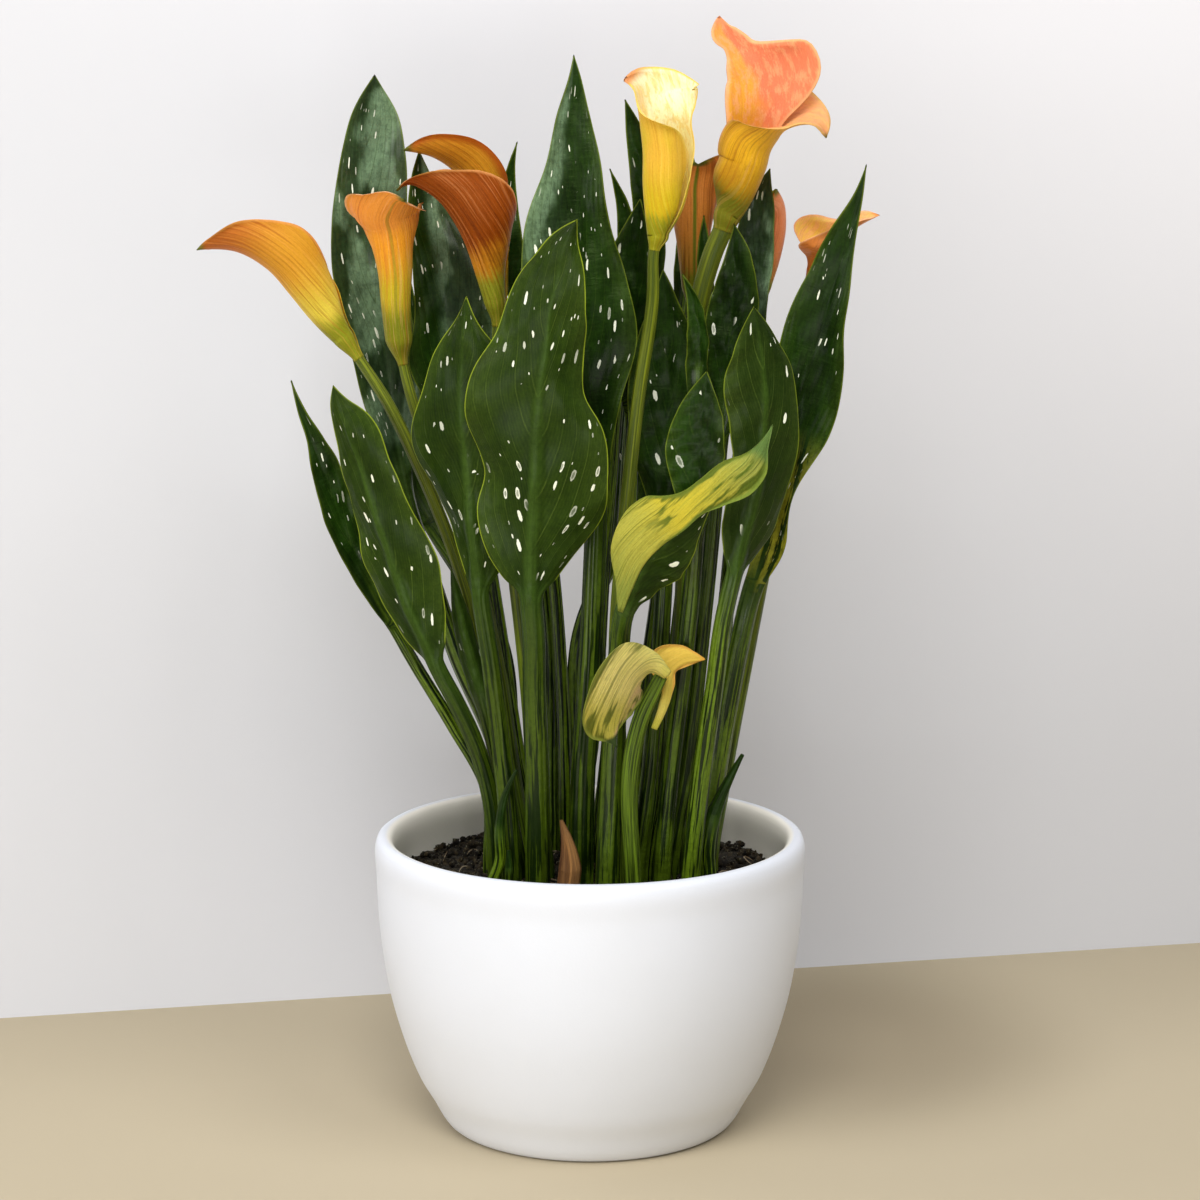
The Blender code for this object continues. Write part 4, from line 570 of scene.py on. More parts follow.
def skin(rings, tip=None):
    """Points and faces of a closed skin over rings of points, pointed at the tip if one is
    given: four-cornered faces along the rings, a strip across the start, a fan at the tip."""
    count, size = rings.shape[:2]
    points = rings.reshape(-1, 3)
    i, j = np.meshgrid(np.arange(count - 1), np.arange(size), indexing="ij")
    a, b = i * size + j, i * size + (j + 1) % size
    walls = np.stack([a, b, b + size, a + size], -1).reshape(-1, 4)
    k = np.arange(size // 2 - 1)
    start = np.stack([k, size - 1 - k, size - 2 - k, k + 1], -1)
    last = (count - 1) * size
    fans = np.empty((0, 3), int)
    if tip is None:
        walls = np.concatenate([walls, start, start[:, ::-1] + last])
    else:
        walls = np.concatenate([walls, start])
        j = np.arange(size)
        fans = np.stack([last + j, last + (j + 1) % size, np.full(size, len(points))], -1)
        points = np.concatenate([points, [tip]])
    corner = points[walls]
    out = np.einsum("ij,ij->", corner[:, 0], np.cross(corner[:, 1], corner[:, 2]))
    out += np.einsum("ij,ij->", corner[:, 0], np.cross(corner[:, 2], corner[:, 3]))
    if out < 0:
        walls, fans = walls[:, ::-1], fans[:, ::-1]
    return points, [walls, fans]


def leaf_skin(order, grain, side, wave, root, stem, blade):
    """A leaf in one piece. Its round ribbed stem flattens and widens into the blade, whose edge
    thins out, whose midrib stands out of the lower face and fades towards the tip, and whose
    side veins are shallow furrows above and low ridges below."""
    across, stem_rings, blade_rings = LEAF_GRAIN[grain]
    stem = in_soil(root) + stem
    rows = [(x, y, z, r, r, STEM_CURL, blade[0][6]) for x, y, z, r in stem] + list(blade)
    start = fraction_of(rows, len(stem))
    run = start + (1 - start) * (1 - (1 - np.linspace(0, 1, blade_rings + 1)) ** 1.15)[:-1]
    up_stem = np.linspace(fraction_of(rows, 2), start, stem_rings - 1, endpoint=False)
    where = np.concatenate([[0.0], up_stem, run])
    where = np.append(where, min(LAST_RING, (1 + where[-1]) / 2))
    path, along = smooth(rows, where)
    wide = np.maximum(path[:, 3], path[:, 4])
    radius = np.interp(where, [0, start, 1], [stem[0][3], stem[-1][3], EDGE])
    flat = np.maximum.accumulate(np.clip((wide / radius - 1.05) / 1.6, 0, 1))
    flat = rise(flat, 0, 1)
    path[:, 3:5] = np.maximum(path[:, 3:5], EDGE * 0.4)
    spread = np.linspace(-1, 1, across)
    c = np.sin(spread * 1.45) / np.sin(1.45)
    s = (where - start) / (1 - start)
    ruffle = 0.5 if grain in ("long", "large") else 0.2
    middle, normal, half = sheet(path, along, c, side, wave=wave, ruffle=ruffle)

    beside = np.abs(c[None, :]) * half
    growth = vein_phase(s[:, None], c[None, :], length_of(blade))
    furrow = 0.1 * np.exp(-((growth - np.round(growth)) / 0.17) ** 2) * np.minimum(1, half / 10)
    furrow = furrow * rise(beside, 1.5, 5)
    swell = np.sin(2 * np.pi * 3.1 * s[:, None] + 4 * c[None, :] + order)
    swell = swell + 0.5 * np.sin(2 * np.pi * 6.7 * s[:, None] - 5 * c[None, :] + 2 * order)
    quilt = 0.5 - 0.5 * np.cos(2 * np.pi * growth)
    pillow = (0.5 * swell + 0.04 * quilt * rise(beside, 1.5, 5)) * np.minimum(1, half / 14)
    thin = EDGE / 2 * (1 - 0.75 * np.abs(c[None, :]) ** 3)
    left_over = np.sqrt(np.clip(1 - s, 0, 1))[:, None]
    rib = np.interp(s, [0, 1], [min(stem[-1][3] * 0.95, 3.4), 0.45])[:, None]
    ridge = np.minimum(RIB, 0.75 * rib) * left_over * (1 - rise(beside, 0.25 * rib, 1.55 * rib))
    groove = 0.45 * left_over * np.exp(-((beside / 1.1) ** 2))
    upper = thin - furrow - groove + pillow
    lower = thin + furrow + ridge - pillow
    blade_shape = both_faces(middle + normal * upper[..., None], middle - normal * lower[..., None])

    count = 2 * across
    angle = np.pi - (np.arange(count) + 0.5) * 2 * np.pi / count
    axis, up = axes_along(along, path[:, 6])
    x, y = np.cos(angle), np.sin(angle) * side
    ribs = 0.13 * np.sin(9 * angle + 1.3 * order) + 0.09 * np.sin(14 * angle + 2.1 * order)
    round_at = radius[:, None] + ribs[None, :]
    round_shape = path[:, None, :3] + round_at[..., None] * (
        x[:, None] * axis[:, None] + y[:, None] * up[:, None]
    )
    mix = flat[:, None, None]
    rings = round_shape * (1 - mix) + blade_shape * mix

    level = np.broadcast_to(where[:, None] * length_of(rows), (len(where), across))
    about = on_both(c[None, :] * half)
    around = np.broadcast_to(angle * 3.0, about.shape)
    over = both_faces(beside * 0, beside * 0 + 1)
    from_edge = on_both(half - beside)
    on_rib = 1 - rise(beside, 0.55 * rib, 1.25 * rib)
    marks = {
        "lay": (np.where(flat[:, None] > 0.5, about, around), on_both(level), order + 0 * about),
        "grow": (
            on_both(c + 0 * half),
            on_both(s[:, None] + 0 * half),
            on_both(growth),
        ),
        "part": (
            from_edge * flat[:, None] + 9 * (1 - flat[:, None]),
            on_both(on_rib) * flat[:, None] + (1 - flat[:, None]),
            over,
        ),
    }
    return rings, np.array(blade[-1][:3], float), marks


def vein_phase(s, c, long):
    """A count that passes a whole number at each side vein. The veins leave the midrib at a
    small angle and bend up towards the tip: count = veins * (s - 0.62 |c|^1.25)."""
    return long / 24 * (s - 0.62 * np.abs(c) ** 1.25)


def in_soil(root):
    """The straight foot of a stem, as rows of x, y, z, radius."""
    x, y, radius = root
    middle = (STEM_FOOT + STEM_FREE) / 2
    return [(x, y, z, radius) for z in (STEM_FOOT, middle, STEM_FREE)]


def neck_line(whole, first, count, length):
    """Points down a stalk from where it enters the tube, their directions and the radii of the
    collar there, which eases from 1, the tube's own width, to 0, the stalk's."""
    entry = fraction_of(whole, first)
    t = np.linspace(1, 0, count + 1)[:-1]
    path, along = smooth(whole, entry - t * length / length_of(whole))
    return path[:, :3], along, path[:, 3], 1 - rise(t, 0, 1), -t * length


def spathe_skin(order, rows, side, grain, tuck, flare, ruffle, neck=None):
    """A bloom's coloured sheet: rolled into a funnel whose edges pass each other, laid along its
    own back line, with a thin rounded edge that turns out as a lip, and a pointed tip. Its upper
    face is the inside. A neck, if one is given, draws the tube in onto its stalk."""
    across, ring_count = grain
    where = 1 - (1 - np.linspace(0, 1, ring_count + 1)[:-1]) ** 1.2
    where = np.append(where, min(0.99, (1 + where[-1]) / 2))
    path, along = smooth(rows, where)
    path[:, 3:5] = np.maximum(path[:, 3:5], 0.35)
    tucks = tuck * np.clip((path[:, 5] - 120) / 60, 0, 1)[:, None]
    spread = np.linspace(-1, 1, across)
    c = np.sin(spread * 1.35) / np.sin(1.35)
    fade = rise(where, 0.25, 0.6)[:, None]
    middle, normal, half = sheet(path, along, c, side, tucks, flare, ruffle=0.0)
    ripple = np.sin(2 * np.pi * (3.7 * where[:, None] + 0.37 * order) + 2.2 * c[None, :])
    lift = ruffle * fade * np.abs(c[None, :]) ** 4 * ripple
    outer = np.clip((np.abs(c[None, :]) - 0.8) / 0.2, 0, 1) ** 2
    lift = lift - LIP * fade * outer * np.minimum(1, half / 12)
    lines = 0.07 * np.sin(c[None, :] * half * 1.9 + order) * fade
    middle = middle + normal * lift[..., None]
    thin = EDGE / 2 * (1 - 0.7 * np.abs(c[None, :]) ** 4) * (1 - 0.4 * rise(where, 0.6, 1))[:, None]
    upper = middle + normal * (thin + lines)[..., None]
    lower = middle - normal * (thin - lines)[..., None]
    rings = both_faces(upper, lower)
    level = where[:, None] * length_of(rows) + 0 * half
    about = c[None, :] * half
    if neck:
        centres, ways, stalk, wide, down = neck
        _, up = axes_along(along, path[:, 6])
        hub = path[0, :3] + up[0] * side * path[0, 3] / np.radians(path[0, 5])
        reach = rings[0] - hub
        spokes = reach[None] - np.einsum("jk,ik->ij", reach, ways)[..., None] * ways[:, None]
        long = np.linalg.norm(spokes, axis=2, keepdims=True)
        tight = stalk[:, None] + both_faces(0.1 * c[None, :] - 0.4, 0.1 * c[None, :] + 0.12)
        radius = np.linalg.norm(reach, axis=1)[None] * wide[:, None] + tight * (1 - wide[:, None])
        rings = np.concatenate([centres[:, None] + spokes / long * radius[..., None], rings])
        level = np.concatenate([down[:, None] + 0 * level[:1], level])
        about = np.concatenate([about[:1] + 0 * down[:, None], about])
        half = np.concatenate([half[:1] + 0 * down[:, None], half])
        where = np.concatenate([down / length_of(rows), where])
    marks = {
        "lay": (on_both(about), on_both(level), order + 0 * on_both(half)),
        "grow": (
            on_both(c + 0 * half),
            on_both(where[:, None] + 0 * half),
            on_both(0 * half),
        ),
        "part": (
            on_both(half - np.abs(about)),
            on_both(0 * half),
            both_faces(0 * half, 0 * half + 1),
        ),
    }
    return rings, np.array(rows[-1][:3], float), marks


def tube_line(rows, side, where, radii):
    """The middle line of a spathe's tube as rows of x, y, z, radius, for the stalk inside it.
    It starts a little below the tube, in line with it."""
    path, along = smooth(rows, where)
    _, up = axes_along(along, path[:, 6])
    middle = path[:, :3] + up * side * (path[:, 3] / np.radians(path[:, 5]))[:, None]
    way = middle[1] - middle[0]
    below = middle[0] - way / np.linalg.norm(way) * NECK_BELOW
    return [(*below, radii[0])] + [(*point, radius) for point, radius in zip(middle, radii)]


def stalk_skin(order, rows, spadix_from):
    """A round stalk with low ribs. Above spadix_from, as a fraction of its length, it is the
    spadix, whose surface has small round florets in a twisted grid."""
    sides, ring_count = STALK_GRAIN
    above = np.linspace(fraction_of(rows, 2), 1, ring_count - 1)
    where = np.append(0, above)
    path, along = smooth(rows, where)
    axis, up = axes_along(along, np.zeros(len(path)))
    angle = np.pi - (np.arange(sides) + 0.5) * 2 * np.pi / sides
    ends = np.sqrt(np.clip((1 - where) / 0.012, 0.02, 1)) if spadix_from < 1 else np.ones(len(where))
    ribs = 0.1 * np.sin(7 * angle + order)[None, :]
    on_spadix = rise(where, spadix_from, spadix_from + 0.01)[:, None]
    level = where[:, None] * length_of(rows)
    florets = 0.22 * np.sin(6 * angle[None, :] + 2.4 * level) * np.sin(6 * angle[None, :] - 2.4 * level)
    round_at = (path[:, 3:4] + ribs * (1 - on_spadix) + florets * on_spadix) * ends[:, None]
    x, y = np.cos(angle), np.sin(angle)
    spokes = x[:, None] * axis[:, None] + y[:, None] * up[:, None]
    rings = path[:, None, :3] + round_at[..., None] * spokes
    about = np.broadcast_to(angle * 3.0, round_at.shape)
    zero = 0 * about
    marks = {
        "lay": (about, level + zero, order + zero),
        "grow": (zero, where[:, None] + zero, zero),
        "part": (zero + 9, on_spadix + zero, zero),
    }
    return rings, marks


def turned_skin(profile, sides):
    """Points (r cos a, r sin a, z) and faces of a closed body turned about Z. The profile runs
    from the axis below, round the outside, to the axis above or inside."""
    profile = np.asarray(profile, float)
    angle = np.arange(sides) * 2 * np.pi / sides
    ring = profile[1:-1]
    x = ring[:, None, 0] * np.cos(angle)
    y = ring[:, None, 0] * np.sin(angle)
    z = np.broadcast_to(ring[:, None, 1], x.shape)
    points = np.stack([x, y, z], -1).reshape(-1, 3)
    i, j = np.meshgrid(np.arange(len(ring) - 1), np.arange(sides), indexing="ij")
    a, b = i * sides + j, i * sides + (j + 1) % sides
    walls = np.stack([a, b, b + sides, a + sides], -1).reshape(-1, 4)
    j = np.arange(sides)
    first, last = len(points), len(points) + 1
    points = np.concatenate([points, [[0, 0, profile[0, 1]], [0, 0, profile[-1, 1]]]])
    top = (len(ring) - 1) * sides
    below = np.stack([(j + 1) % sides, j, np.full(sides, first)], -1)
    above = np.stack([top + j, top + (j + 1) % sides, np.full(sides, last)], -1)
    return points, [walls, np.concatenate([below, above])]


def lumps(places, sizes, turns):
    """Closed crumbs of 20 faces, each a lumpy ball squashed and turned its own way. Places is
    n by 3, sizes n by 3 half-widths, turns n by 3 angles."""
    g = (1 + 5**0.5) / 2
    corner = np.array([
        (-1, g, 0), (1, g, 0), (-1, -g, 0), (1, -g, 0), (0, -1, g), (0, 1, g),
        (0, -1, -g), (0, 1, -g), (g, 0, -1), (g, 0, 1), (-g, 0, -1), (-g, 0, 1),
    ]) / np.sqrt(1 + g * g)
    face = np.array([
        (0, 11, 5), (0, 5, 1), (0, 1, 7), (0, 7, 10), (0, 10, 11), (1, 5, 9), (5, 11, 4),
        (11, 10, 2), (10, 7, 6), (7, 1, 8), (3, 9, 4), (3, 4, 2), (3, 2, 6), (3, 6, 8),
        (3, 8, 9), (4, 9, 5), (2, 4, 11), (6, 2, 10), (8, 6, 7), (9, 8, 1),
    ])
    count = len(places)
    wobble = 1 + 0.28 * np.sin(np.arange(12)[None, :] * 2.4 + turns[:, :1] * 5)
    body = corner[None] * wobble[..., None] * sizes[:, None, :]
    for axis in range(3):
        u, v = (axis + 1) % 3, (axis + 2) % 3
        cos, sin = np.cos(turns[:, axis])[:, None], np.sin(turns[:, axis])[:, None]
        first = body[..., u] * cos - body[..., v] * sin
        body[..., v] = body[..., u] * sin + body[..., v] * cos
        body[..., u] = first
    points = (body + places[:, None, :]).reshape(-1, 3)
    faces = (face[None] + np.arange(count)[:, None, None] * 12).reshape(-1, 3)
    return points, faces


def threads(paths, radius, sides):
    """Thin closed tubes, path + r (axis cos a + up sin a). Paths is n by k by 3, radius n by k;
    the ends come to a point."""
    count, steps = paths.shape[:2]
    along = np.gradient(paths, axis=1)
    along /= np.linalg.norm(along, axis=2, keepdims=True)
    axis = np.cross(along, np.array([0.13, 0.21, 1.0]))
    axis /= np.linalg.norm(axis, axis=2, keepdims=True)
    up = np.cross(along, axis)
    angle = np.arange(sides) * 2 * np.pi / sides
    ring = np.cos(angle)[:, None] * axis[:, :, None] + np.sin(angle)[:, None] * up[:, :, None]
    points = paths[:, :, None] + ring * radius[:, :, None, None]
    n, i, j = np.meshgrid(np.arange(count), np.arange(steps - 1), np.arange(sides), indexing="ij")
    a = (n * steps + i) * sides + j
    b = (n * steps + i) * sides + (j + 1) % sides
    walls = np.stack([a, b, b + sides, a + sides], -1).reshape(-1, 4)
    n, j = np.meshgrid(np.arange(count), np.arange(sides), indexing="ij")
    first, last = n * steps * sides, (n * steps + steps - 1) * sides
    start, end = count * steps * sides + n, count * steps * sides + count + n
    after = (j + 1) % sides
    caps = np.concatenate(
        [np.stack([start, first + after, first + j], -1), np.stack([end, last + j, last + after], -1)]
    )
    ends = np.concatenate(
        [paths[:, 0] - along[:, 0] * radius[:, :1], paths[:, -1] + along[:, -1] * radius[:, -1:]]
    )
    return np.concatenate([points.reshape(-1, 3), ends]), [walls, caps.reshape(-1, 3)]


class Bench:
    """Short ways to add nodes to one node tree. Most return the new node's output socket."""

    def __init__(self, tree):
        """Starts a bench for a node tree."""
        self.tree = tree

    def node(self, kind, inputs, **settings):
        """A new node with its settings, and with each input linked or set to a value."""
        made = self.tree.nodes.new(kind)
        for key, value in settings.items():
            setattr(made, key, value)
        for key, value in inputs.items():
            if isinstance(value, bpy.types.NodeSocket):
                self.link(value, made.inputs[key])
            else:
                made.inputs[key].default_value = value
        return made

    def link(self, value, socket):
        """Joins an output socket to the input socket that it feeds."""
        self.tree.links.new(value, socket)

    def group(self, tree, inputs):
        """The outputs of a shared group that is fed with the given inputs."""
        return self.node("ShaderNodeGroup", inputs, node_tree=tree).outputs

    def maths(self, operation, *values):
        """One sum of the values."""
        return self.node("ShaderNodeMath", dict(enumerate(values)), operation=operation).outputs[0]

    def times(self, first, second):
        """The product of two values."""
        return self.maths("MULTIPLY", first, second)

    def plus(self, first, second):
        """The sum of two values."""
        return self.maths("ADD", first, second)

    def minus(self, first, second):
        """The first value less the second."""
        return self.maths("SUBTRACT", first, second)

    def distance(self, east, north):
        """How far a point lies from the middle of a plane."""
        return self.maths("SQRT", self.plus(self.times(east, east), self.times(north, north)))

    def step(self, value, low, high):
        """0 below low, 1 above high, smooth between; low may be the larger, which turns it round."""
        inputs = {"Value": value, "From Min": low, "From Max": high}
        return self.node("ShaderNodeMapRange", inputs, interpolation_type="SMOOTHSTEP").outputs[0]

    def mix(self, share, first, second, blend_type="MIX"):
        """The first colour, with the given share of the second."""
        inputs = {0: share, 6: first, 7: second}
        return self.node("ShaderNodeMix", inputs, data_type="RGBA", blend_type=blend_type).outputs[2]

    def between(self, share, first, second):
        """The value that lies the given share of the way from the first to the second."""
        return self.node("ShaderNodeMix", {0: share, 2: first, 3: second}).outputs[0]

    def split(self, vector):
        """The three parts of a vector."""
        return self.node("ShaderNodeSeparateXYZ", {0: vector}).outputs

    def join(self, x, y, z):
        """A vector from its three parts."""
        return self.node("ShaderNodeCombineXYZ", {0: x, 1: y, 2: z}).outputs[0]

    def noise(self, vector, scale, detail=3.0, rough=0.5):
        """Cloudy noise between 0 and 1."""
        inputs = {"Vector": vector, "Scale": scale, "Detail": detail, "Roughness": rough}
        return self.node("ShaderNodeTexNoise", inputs).outputs["Fac"]

    def patches(self, lay, fine, detail, rough=0.5):
        """Noise laid over a skin. Lay is its place across, its place along and a seed, and fine
        says how close the patches lie across and along."""
        x, y, seed = lay
        place = self.join(self.times(x, fine[0]), self.times(y, fine[1]), seed)
        return self.noise(place, 1.0, detail, rough)

    def place(self):
        """The point's own place in its object, in metres."""
        return self.node("ShaderNodeTexCoord", {}).outputs["Object"]

    def mark(self, name):
        """One of a skin's own attributes, as a vector."""
        return self.node("ShaderNodeAttribute", {}, attribute_name=name).outputs["Vector"]


def new_group(name, inputs, outputs):
    """A shader node group with named sockets, and a bench for it. Kinds are C, V and F."""
    kinds = {"C": "NodeSocketColor", "V": "NodeSocketVector", "F": "NodeSocketFloat"}
    group = bpy.data.node_groups.new(name, "ShaderNodeTree")
    for label, kind in inputs:
        group.interface.new_socket(name=label, in_out="INPUT", socket_type=kinds[kind])
    for label, kind in outputs:
        group.interface.new_socket(name=label, in_out="OUTPUT", socket_type=kinds[kind])
    bench = Bench(group)
    source = group.nodes.new("NodeGroupInput").outputs
    sink = group.nodes.new("NodeGroupOutput").inputs
    return group, bench, source, sink


# The marks that every skin carries, as inputs of a group: where a point lies across and along
# the skin in millimetres with the piece's seed; across from -1 to 1, along from 0 to 1 and the
# count of side veins; and the distance from the edge, the midrib and which face it is on.
MARKS = [("Lay", "V"), ("Grow", "V"), ("Part", "V")]


def fleck_group():
    """Pale flecks that lie along a blade: stretched cells, a share of which hold one fleck of
    its own length and strength. They keep off the midrib, the edge and both ends."""
    group, b, given, out = new_group(
        "pale flecks", [*MARKS, ("Share", "F"), ("Size", "F")], [("Mask", "F")],
    )
    x, y, order = b.split(given["Lay"])
    across, along, growth = b.split(given["Grow"])
    from_edge, rib, _ = b.split(given["Part"])
    beside = b.plus(b.times(growth, 8.0), b.times(b.maths("SIGN", across), 57.3))
    warp = b.patches((x, y, order), (0.1, 0.05), 2.0)
    beside = b.plus(beside, b.times(warp, 3.0))
    crowd = b.patches((x, y, b.plus(order, 9.0)), (0.07, 0.04), 1.0)
    crowd = b.step(crowd, 0.36, 0.62)
    ragged = b.patches((x, y, order), (1.6, 0.8), 3.0)
    ragged = b.times(b.minus(ragged, 0.5), 0.10)
    masks = []
    for wide, long, least, most, part in ((6.5, 14.0, 0.10, 0.21, 1.0), (4.5, 9.0, 0.07, 0.13, 0.3)):
        cell = b.join(
            b.plus(b.times(beside, 1 / wide), b.times(order, 17.3)),
            b.plus(b.times(y, 1 / long), b.times(order, 5.7)), 0.0,
        )
        inputs = {"Vector": cell, "Scale": 1.0, "Randomness": 0.9, "Exponent": 2.4}
        shape = {"voronoi_dimensions": "2D", "distance": "MINKOWSKI"}
        cells = b.node("ShaderNodeTexVoronoi", inputs, **shape)
        chance, strength, size = b.split(cells.outputs["Color"])
        distance = b.plus(cells.outputs["Distance"], ragged)
        reach = b.times(given["Size"], b.between(size, least, most))
        spot = b.step(distance, reach, b.minus(reach, 0.03))
        hollow = b.step(distance, b.times(reach, 0.75), b.times(reach, 0.4))
        hollow = b.times(hollow, b.times(b.step(strength, 0.75, 0.55), b.step(along, 0.6, 0.3)))
        spot = b.times(spot, b.minus(1.0, b.times(hollow, 0.7)))
        share = b.times(b.times(given["Share"], part), b.between(crowd, 0.35, 1.5))
        here = b.maths("LESS_THAN", chance, share)
        bright = b.between(b.step(strength, 0.2, 0.5), 0.5, 1.0)
        masks.append(b.times(b.times(spot, here), bright))
    mask = b.maths("MAXIMUM", *masks)
    place = b.times(b.step(b.maths("ABSOLUTE", across), 0.05, 0.1), b.step(from_edge, 1.0, 3.5))
    place = b.times(place, b.times(b.step(along, 0.02, 0.1), b.step(along, 0.985, 0.93)))
    place = b.times(place, b.minus(1.0, rib))
    b.link(b.times(mask, place), out["Mask"])
    return group


def streak_group():
    """Uneven lines that run along a stem or a petal: noise stretched along it, in two widths."""
    group, b, given, out = new_group(
        "long streaks", [("Lay", "V"), ("Fine", "F"), ("Stretch", "F")],
        [("Broad", "F"), ("Thin", "F")],
    )
    x, y, order = b.split(given["Lay"])
    far = b.times(y, given["Stretch"])
    seed = b.times(order, 3.1)
    broad = b.patches((x, far, seed), (0.33, 0.3), 2.0)
    thin = b.noise(b.join(b.times(x, given["Fine"]), far, seed), 1.0, 4.0, 0.6)
    b.link(b.step(broad, 0.32, 0.68), out["Broad"])
    b.link(b.step(thin, 0.34, 0.66), out["Thin"])
    return group


def leaf_group(flecks, streaks):
    """The whole skin of a leaf: mottled green with paler side veins, other greens below, pale
    flecks, a midrib and stem with long streaks, a thin yellow-green edge, and on some upper faces
    a painted sheen, pale patches that stand for gloss highlights."""
    group, b, given, out = new_group(
        "leaf skin",
        [*MARKS, *[(label, "C") for label in LEAF_COLOURS], *[(label, "F") for label in LEAF_VALUES]],
        [("Colour", "C"), ("Roughness", "F"), ("Height", "F"), ("Coat", "F")],
    )
    x, y, order = b.split(given["Lay"])
    across, along, growth = b.split(given["Grow"])
    from_edge, rib, lower = b.split(given["Part"])
    seed = b.times(order, 2.3)

    marks = {label: given[label] for label, _ in MARKS}
    spots = b.group(flecks, {**marks, "Share": given["Fleck share"], "Size": given["Fleck size"]})
    lines = b.group(streaks, {"Lay": given["Lay"], "Fine": 0.9, "Stretch": 0.02})

    broad = b.patches((x, y, seed), (0.05, 0.025), 3.0)
    broad = b.step(broad, 0.34, 0.66)
    grain = b.patches((x, y, seed), (0.9, 0.16), 4.0, 0.6)
    wander = b.times(b.minus(broad, 0.5), 0.12)
    phase = b.plus(growth, wander)
    off = b.maths("ABSOLUTE", b.minus(phase, b.maths("ROUND", phase)))
    vein = b.step(off, 0.06, 0.012)
    minor = b.times(phase, 5.0)
    off_minor = b.maths("ABSOLUTE", b.minus(minor, b.maths("ROUND", minor)))
    small_vein = b.step(off_minor, 0.4, 0.08)

    tone = b.between(b.step(grain, 0.3, 0.7), b.times(broad, 0.6), b.plus(b.times(broad, 0.6), 0.4))
    upper = b.mix(tone, given["Upper deep"], given["Upper"])
    under = b.mix(tone, given["Lower deep"], given["Lower"])
    # Painted sheen: a pale patch on the upper face, on the side and above the level that each leaf
    # gives, stands for a gloss highlight.
    wax = b.step(b.plus(b.times(across, given["Wax side"]), given["Wax level"]), 0.0, 0.6)
    wax = b.times(wax, b.times(given["Wax share"], b.between(b.step(broad, 0.3, 0.8), 0.12, 1.0)))
    wax = b.times(b.times(wax, b.step(along, 0.05, 0.3)), b.between(grain, 0.6, 1.1))
    wax = b.times(wax, b.between(vein, 1.0, 0.6))
    upper = b.mix(wax, upper, given["Wax"])
    face = b.mix(lower, upper, under)
    edge_light = b.times(b.step(b.maths("ABSOLUTE", across), 0.5, 1.0), 0.14)
    face = b.mix(edge_light, face, given["Vein"])
    veined = b.times(b.times(vein, broad), b.between(lower, 0.14, 0.36))
    veined = b.maths("MAXIMUM", veined, b.times(small_vein, b.between(lower, 0.02, 0.05)))
    face = b.mix(veined, face, given["Vein"])
    aged = b.times(given["Aged"], b.step(b.plus(b.times(lines["Broad"], 0.6), grain), 0.72, 0.95))
    aged = b.times(aged, b.step(along, given["Aged to"], b.minus(given["Aged to"], 0.25)))
    face = b.mix(aged, face, given["Age"])
    mottle = b.patches((x, y, seed), (0.6, 0.32), 5.0, 0.75)
    mottle = b.times(b.step(mottle, 0.42, 0.62), 0.35)
    face = b.mix(mottle, face, b.mix(lower, given["Upper deep"], given["Lower deep"]))
    face = b.mix(spots["Mask"], face, given["Fleck"])

    stem = b.mix(b.step(lines["Thin"], 0.28, 0.62), given["Stem deep"], given["Stem"])
    stem = b.mix(b.times(lines["Broad"], 0.45), stem, given["Stem deep"])
    shade = b.step(b.noise(b.join(b.times(order, 5.3), 0.5, 0.5), 1.0, 0.0), 0.35, 0.65)
    stem = b.mix(b.times(shade, 0.6), stem, given["Stem deep"])
    rib_light = b.mix(b.times(lines["Thin"], 0.3), given["Rib"], given["Stem deep"])
    high = b.step(along, -0.35, 0.12)
    cord = b.mix(b.times(mottle, 0.7), b.mix(high, stem, rib_light), given["Stem deep"])
    below = b.times(lower, b.step(along, 1.02, 0.7))
    on_rib = b.times(rib, b.between(below, b.step(along, 0.16, 0.0), 0.9))
    face = b.mix(on_rib, face, cord)
    rim = b.step(from_edge, 0.7, 0.2)
    face = b.mix(b.times(rim, given["Edge share"]), face, given["Edge"])

    rough = b.between(lower, b.between(grain, 0.3, 0.5), b.between(grain, 0.42, 0.6))
    crease = b.patches((x, y, seed), (0.12, 0.5), 3.0, 0.6)
    height = b.times(vein, b.between(lower, -0.05, 0.08))
    height = b.plus(height, b.times(small_vein, b.between(lower, -0.012, 0.02)))
    height = b.plus(height, b.times(crease, b.between(lower, 0.5, 0.3)))
    dent = b.patches((x, y, seed), (0.07, 0.045), 1.0)
    height = b.plus(height, b.times(dent, b.between(lower, 7.0, 2.5)))
    height = b.plus(height, b.times(grain, 0.025))
    height = b.plus(height, b.times(lines["Thin"], b.times(rib, 0.05)))
    coat = b.between(lower, b.times(given["Gloss"], b.between(grain, 1.0, 0.7)), 0.1)
    coat = b.maths("MAXIMUM", coat, b.times(b.step(along, 0.05, -0.05), 0.4))
    for label, value in (("Colour", face), ("Roughness", rough), ("Height", height), ("Coat", coat)):
        b.link(value, out[label])
    return group


